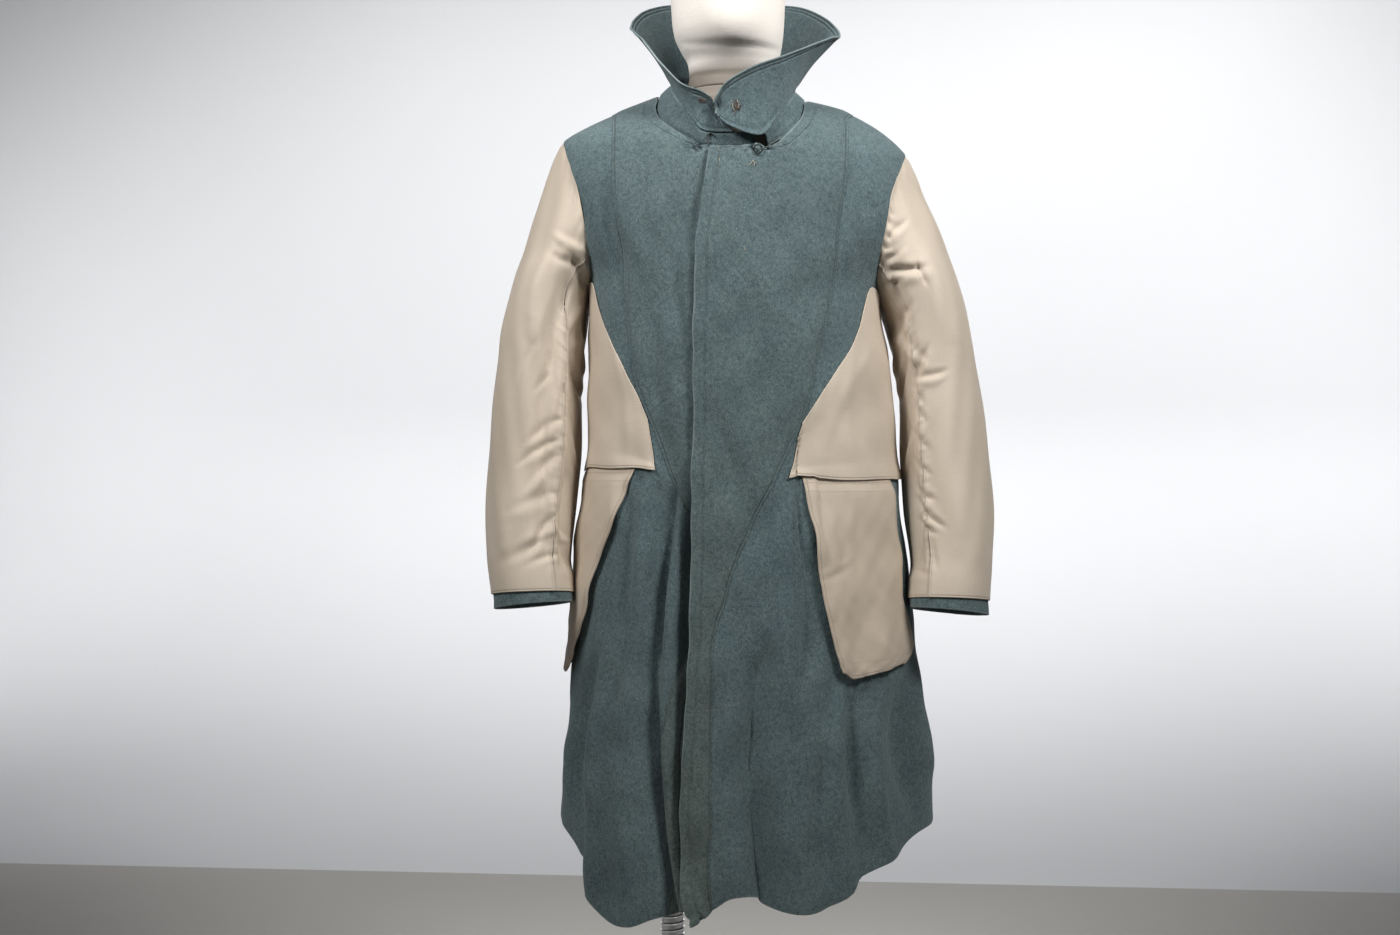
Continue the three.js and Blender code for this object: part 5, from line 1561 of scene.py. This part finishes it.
def build_ribs():
    """Ribs that wind up the pole, which keeps its solid."""
    low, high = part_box("stand_pole")
    height = high.z - low.z - 2 * RIB_CLEARANCE
    source = line_object("ribs_source", [[(0, 0, 0), (0, 0, 1)]])
    values = {
        "Radius": RIB_SPIRAL,
        "Height": height,
        "Turns": height / settings("sizes").rib_pitch,
        "Rib": settings("sizes").rib,
        "Metal": bpy.data.materials["Chrome"],
    }
    ribs = mesh_from_tree("pole_ribs", rib_tree(), values, source)
    for vertex in ribs.data.vertices:
        vertex.co.x += (low.x + high.x) / 2
        vertex.co.y += (low.y + high.y) / 2
        vertex.co.z += low.z + RIB_CLEARANCE
    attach(ribs, "root")


def surface(names):
    """Where a look through a pixel of the camera's view first meets the named pieces."""
    trees = []
    for name in names:
        mesh = bpy.data.objects[name].data
        points = [vertex.co.copy() for vertex in mesh.vertices]
        trees.append(BVHTree.FromPolygons(points, [list(face.vertices) for face in mesh.polygons]))
    eye = Vector([c * MM for c in EYE])

    def meet(u, v):
        slopes = (u - VIEW_MIDDLE[0]) / VIEW_SCALE, (VIEW_MIDDLE[1] - v) / VIEW_SCALE
        way = Vector((slopes[0], 1, slopes[1])).normalized()
        hits = [tree.ray_cast(eye, way) for tree in trees]
        hits = [hit for hit in hits if hit[0] is not None]
        if not hits:
            raise ValueError("nothing is met at %s, %s" % (u, v))
        place, normal, _, _ = min(hits, key=lambda hit: hit[3])
        if normal.dot(way) > 0:
            normal = -normal
        return np.array(place), np.array(normal)

    return meet


def build_marks():
    """Loose ends of thread, a worn-in star of thread on the collar, and tacked lines on the overlap."""
    for i, (pieces, material, marks) in enumerate(THREAD_MARKS):
        meet = surface(pieces)
        lines = []
        for points in marks:
            line = []
            for step, (u, v) in enumerate(points):
                place, normal = meet(u, v)
                lift = 0.0004 + 0.0012 * math.sin(math.pi * step / (len(points) - 1))
                line.append((place + normal * lift) / MM)
            lines.append(np.array(line))
        source = line_object("marks_source", lines)
        tree = bpy.data.node_groups.get("Loose threads") or thread_tree()
        values = {"Thread radius": settings("sizes").loose_thread, "Thread": bpy.data.materials[material]}
        made = mesh_from_tree("loose_threads_%s" % i, tree, values, source)
        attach(made, "root")
    meet = surface(["wool_facing_left", "wool_front_left"])
    for points in TACKED_LINES:
        places = []
        for (u0, v0), (u1, v1) in zip(points, points[1:]):
            for share in np.linspace(0, 1, 12):
                place, normal = meet(mix(u0, u1, share), mix(v0, v1, share))
                places.append((place + normal * 0.0003) / MM)
        THREADS["Pale thread"].append(np.array(places))


def build_stitches():
    sizes = settings("sizes")
    for name, lines in THREADS.items():
        source = line_object("lines_source", lines)
        tree = bpy.data.node_groups.get("Stitches") or stitch_tree()
        values = {
            "Pitch": sizes.stitch_pitch,
            "Length": sizes.stitch_pitch * 0.7,
            "Thread radius": sizes.thread,
            "Thread": bpy.data.materials[name],
        }
        piece = mesh_from_tree("stitches_" + name.split()[0].lower(), tree, values, source)
        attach(piece, "root")


def build_backdrop():
    """A grey floor, and a pale sweep that curves up behind it into a wall."""
    rise = np.radians(np.arange(0, 91, 5))
    depth = SWEEP["depth"] * np.append(np.sin(rise), 1)
    height = np.append(SWEEP["height"] * (1 - np.cos(rise)), WALL_TOP)
    sweep = [(x, y + d, h) for d, h in zip(depth, height) for x, y in WALL_FOOT]
    quads = [(i, i + 1, i + 3, i + 2) for i in range(0, len(sweep) - 2, 2)]
    (left, left_y), (right, right_y) = WALL_FOOT
    floor = [(left, FLOOR_FRONT, 0), (right, FLOOR_FRONT, 0), (right, right_y, 0), (left, left_y, 0)]
    for name, points, faces in (("wall", sweep, quads), ("floor", floor, [(0, 1, 2, 3)])):
        data = bpy.data.meshes.new(name)
        data.from_pydata(points, [], faces)
        data.polygons.foreach_set("use_smooth", [True] * len(faces))
        data.materials.append(bpy.data.materials[name.title()])
        made = bpy.data.objects.new(name, data)
        bpy.context.scene.collection.objects.link(made)


def build_lamps():
    """Two soft lights in front, three on the wall, one from behind and a faint even light."""
    scene = bpy.context.scene
    stage = settings("stage")
    for name, place, size, aim, spread in LAMPS:
        lamp = bpy.data.lights.new(name, "AREA")
        lamp.shape = "RECTANGLE"
        lamp.size, lamp.size_y = size
        lamp.spread = math.radians(spread)
        lamp.energy = getattr(stage, name)
        made = bpy.data.objects.new(name, lamp)
        made.location = place
        made.rotation_euler = (Vector(aim) - Vector(place)).to_track_quat("-Z", "Y").to_euler()
        scene.collection.objects.link(made)
    world = bpy.data.worlds.new("Studio")
    world.use_nodes = True
    background = world.node_tree.nodes["Background"]
    feed(world.node_tree, background, {"Color": (0.92, 0.95, 1.0, 1), "Strength": stage.even_light})
    scene.world = world
    scene.view_settings.view_transform = "Standard"


def build_camera():
    data = bpy.data.cameras.new("camera")
    data.lens = 50
    data.sensor_width = 36
    camera = bpy.data.objects.new("camera", data)
    camera.location = [c * MM for c in EYE]
    camera.rotation_euler = (math.pi / 2, 0, 0)
    bpy.context.scene.collection.objects.link(camera)
    bpy.context.scene.camera = camera


THREADS = {"Wool thread": [], "Cotton thread": [], "Pale thread": []}


# What a user may change


def length(name, description, default):
    return FloatProperty(name=name, description=description, default=default, unit="LENGTH", precision=5)


def color(name, description, default):
    options = {"subtype": "COLOR", "min": 0, "max": 1}
    return FloatVectorProperty(name=name, description=description, default=default, **options)


def power(name, description, default):
    return FloatProperty(name=name, description=description, default=default, unit="POWER")


class OvercoatSizes(PropertyGroup):
    """Thicknesses of the cloths, and sizes of thread and ribs."""

    wool: length("Wool", "Thickness of the wool cloth", 0.0024)
    facing: length("Facing", "Thickness of the front facings", 0.002)
    lining: length("Lining", "Thickness of the satin lining", 0.0016)
    bag: length("Pocket bag", "Thickness of the double cloth of a pocket bag", 0.004)
    stitch_pitch: length("Stitch pitch", "Length from one stitch to the next", 0.0034)
    thread: length("Thread", "Radius of the sewing thread", 0.00021)
    loose_thread: length("Loose thread", "Radius of the loose ends of thread", 0.00035)
    rib_pitch: length("Rib pitch", "Height from one rib of the pole to the next", 0.0093)
    rib: length("Rib", "Radius of the pole's ribs", 0.0023)


class OvercoatColors(PropertyGroup):
    """Colours of the cloths and metals."""

    wool_dark: color("Wool, dark fibres", "Darkest fibres of the wool", (0.032, 0.055, 0.061))
    wool_middle: color("Wool", "Main colour of the wool", (0.125, 0.172, 0.178))
    wool_pale: color("Wool, pale fibres", "Palest fibres of the wool", (0.29, 0.335, 0.33))
    satin: color("Satin", "Cotton satin of the lining", (0.61, 0.52, 0.42))
    satin_stain: color("Satin, stained", "Aged places of the satin", (0.49, 0.41, 0.31))
    twill: color("Pocket twill", "Cloth of the pocket bags", (0.57, 0.48, 0.385))
    twill_stain: color("Pocket twill, stained", "Aged places of the pocket bags", (0.49, 0.405, 0.3))
    linen: color("Linen", "Cover of the dress form", (0.87, 0.81, 0.74))
    wire: color("Black wire", "Hook and eye", (0.05, 0.047, 0.045))
    wall: color("Wall", "Wall behind the form", (0.84, 0.845, 0.86))
    floor: color("Floor", "Floor under the form", (0.52, 0.5, 0.465))


class OvercoatStage(PropertyGroup):
    """Strengths of the lights."""

    key_left: power("Left light", "Power of the left soft light", 16.2)
    key_right: power("Right light", "Power of the right soft light", 18.8)
    wall_wash: power("Wall light", "Power of the light on the wall", 42)
    wall_sides: power("Side lights", "Power of each light beside", 10.5)
    from_behind: power("Back light", "Power of the light behind", 9)
    even_light: FloatProperty(name="Even light", description="Strength of the light all round", default=0.1)


# One operator for each group of like pieces


def both_sides(build):
    build(1)
    build(-1)


class OVERCOAT_OT_materials(Operator):
    """Make the cloths, threads and metals"""

    bl_idname = "overcoat.materials"
    bl_label = "Materials"

    def execute(self, context):
        build_materials(context.scene.overcoat_colors)
        return {"FINISHED"}


class OVERCOAT_OT_fronts(Operator):
    """Make both fronts with their facings"""

    bl_idname = "overcoat.fronts"
    bl_label = "Fronts and facings"

    def execute(self, context):
        both_sides(build_front)
        return {"FINISHED"}


class OVERCOAT_OT_backs(Operator):
    """Make both halves of the back"""

    bl_idname = "overcoat.backs"
    bl_label = "Backs"

    def execute(self, context):
        both_sides(build_back)
        return {"FINISHED"}


class OVERCOAT_OT_side_linings(Operator):
    """Make the satin linings under the arms"""

    bl_idname = "overcoat.side_linings"
    bl_label = "Side linings"

    def execute(self, context):
        both_sides(build_side_lining)
        return {"FINISHED"}


class OVERCOAT_OT_pocket_bags(Operator):
    """Make both pocket bags"""

    bl_idname = "overcoat.pocket_bags"
    bl_label = "Pocket bags"

    def execute(self, context):
        both_sides(build_bag)
        return {"FINISHED"}


class OVERCOAT_OT_sleeves(Operator):
    """Make the sleeves and their cuff bands"""

    bl_idname = "overcoat.sleeves"
    bl_label = "Sleeves and cuffs"

    def execute(self, context):
        both_sides(build_sleeve)
        return {"FINISHED"}


class OVERCOAT_OT_collar(Operator):
    """Make the collar's stand and its turned-up fall, and finish the hook and eye"""

    bl_idname = "overcoat.collar"
    bl_label = "Collar, hook and eye"

    def execute(self, context):
        both_sides(build_collar)
        finish_node("collar_hook", "Black wire")
        finish_node("collar_eye", "Black wire")
        return {"FINISHED"}


class OVERCOAT_OT_dress_form(Operator):
    """Make the linen torso and head"""

    bl_idname = "overcoat.dress_form"
    bl_label = "Dress form"

    def execute(self, context):
        build_torso()
        build_head()
        return {"FINISHED"}


class OVERCOAT_OT_stand(Operator):
    """Finish the pole and the base plate, and wind the ribs up the pole"""

    bl_idname = "overcoat.stand"
    bl_label = "Stand"

    def execute(self, context):
        finish_node("stand_pole", "Chrome")
        finish_node("stand_base", "Steel")
        build_ribs()
        return {"FINISHED"}


class OVERCOAT_OT_threads(Operator):
    """Make the loose threads, tacked lines and all rows of stitches"""

    bl_idname = "overcoat.threads"
    bl_label = "Threads and stitches"

    def execute(self, context):
        build_marks()
        build_stitches()
        return {"FINISHED"}


class OVERCOAT_OT_stage(Operator):
    """Make the wall, the floor, the lights and the camera"""

    bl_idname = "overcoat.stage"
    bl_label = "Stage"

    def execute(self, context):
        build_backdrop()
        build_lamps()
        build_camera()
        return {"FINISHED"}


OPERATORS = (
    OVERCOAT_OT_materials, OVERCOAT_OT_fronts, OVERCOAT_OT_backs, OVERCOAT_OT_side_linings,
    OVERCOAT_OT_pocket_bags, OVERCOAT_OT_sleeves, OVERCOAT_OT_collar, OVERCOAT_OT_dress_form,
    OVERCOAT_OT_stand, OVERCOAT_OT_threads, OVERCOAT_OT_stage,
)
GROUPS = {"sizes": OvercoatSizes, "colors": OvercoatColors, "stage": OvercoatStage}


class OVERCOAT_PT_panel(Panel):
    """The steps in order, over the values that a user may change"""

    bl_idname = "OVERCOAT_PT_panel"
    bl_label = "Overcoat"
    bl_space_type = "VIEW_3D"
    bl_region_type = "UI"
    bl_category = "Overcoat"

    def draw(self, context):
        for operator in OPERATORS:
            self.layout.operator(operator.bl_idname)
        for name, kind in GROUPS.items():
            box = self.layout.box()
            for value in kind.__annotations__:
                box.prop(getattr(context.scene, "overcoat_" + name), value)


def register():
    for kind in (*GROUPS.values(), *OPERATORS, OVERCOAT_PT_panel):
        bpy.utils.register_class(kind)
    for name, kind in GROUPS.items():
        setattr(bpy.types.Scene, "overcoat_" + name, PointerProperty(type=kind))


def unregister():
    for name in GROUPS:
        delattr(bpy.types.Scene, "overcoat_" + name)
    for kind in (OVERCOAT_PT_panel, *reversed(OPERATORS), *reversed(GROUPS.values())):
        bpy.utils.unregister_class(kind)


def main():
    register()
    bpy.ops.overcoat.materials()
    bpy.ops.overcoat.fronts()
    bpy.ops.overcoat.backs()
    bpy.ops.overcoat.side_linings()
    bpy.ops.overcoat.pocket_bags()
    bpy.ops.overcoat.sleeves()
    bpy.ops.overcoat.collar()
    bpy.ops.overcoat.dress_form()
    bpy.ops.overcoat.stand()
    bpy.ops.overcoat.threads()
    bpy.ops.overcoat.stage()


if __name__ == "__main__":
    main()
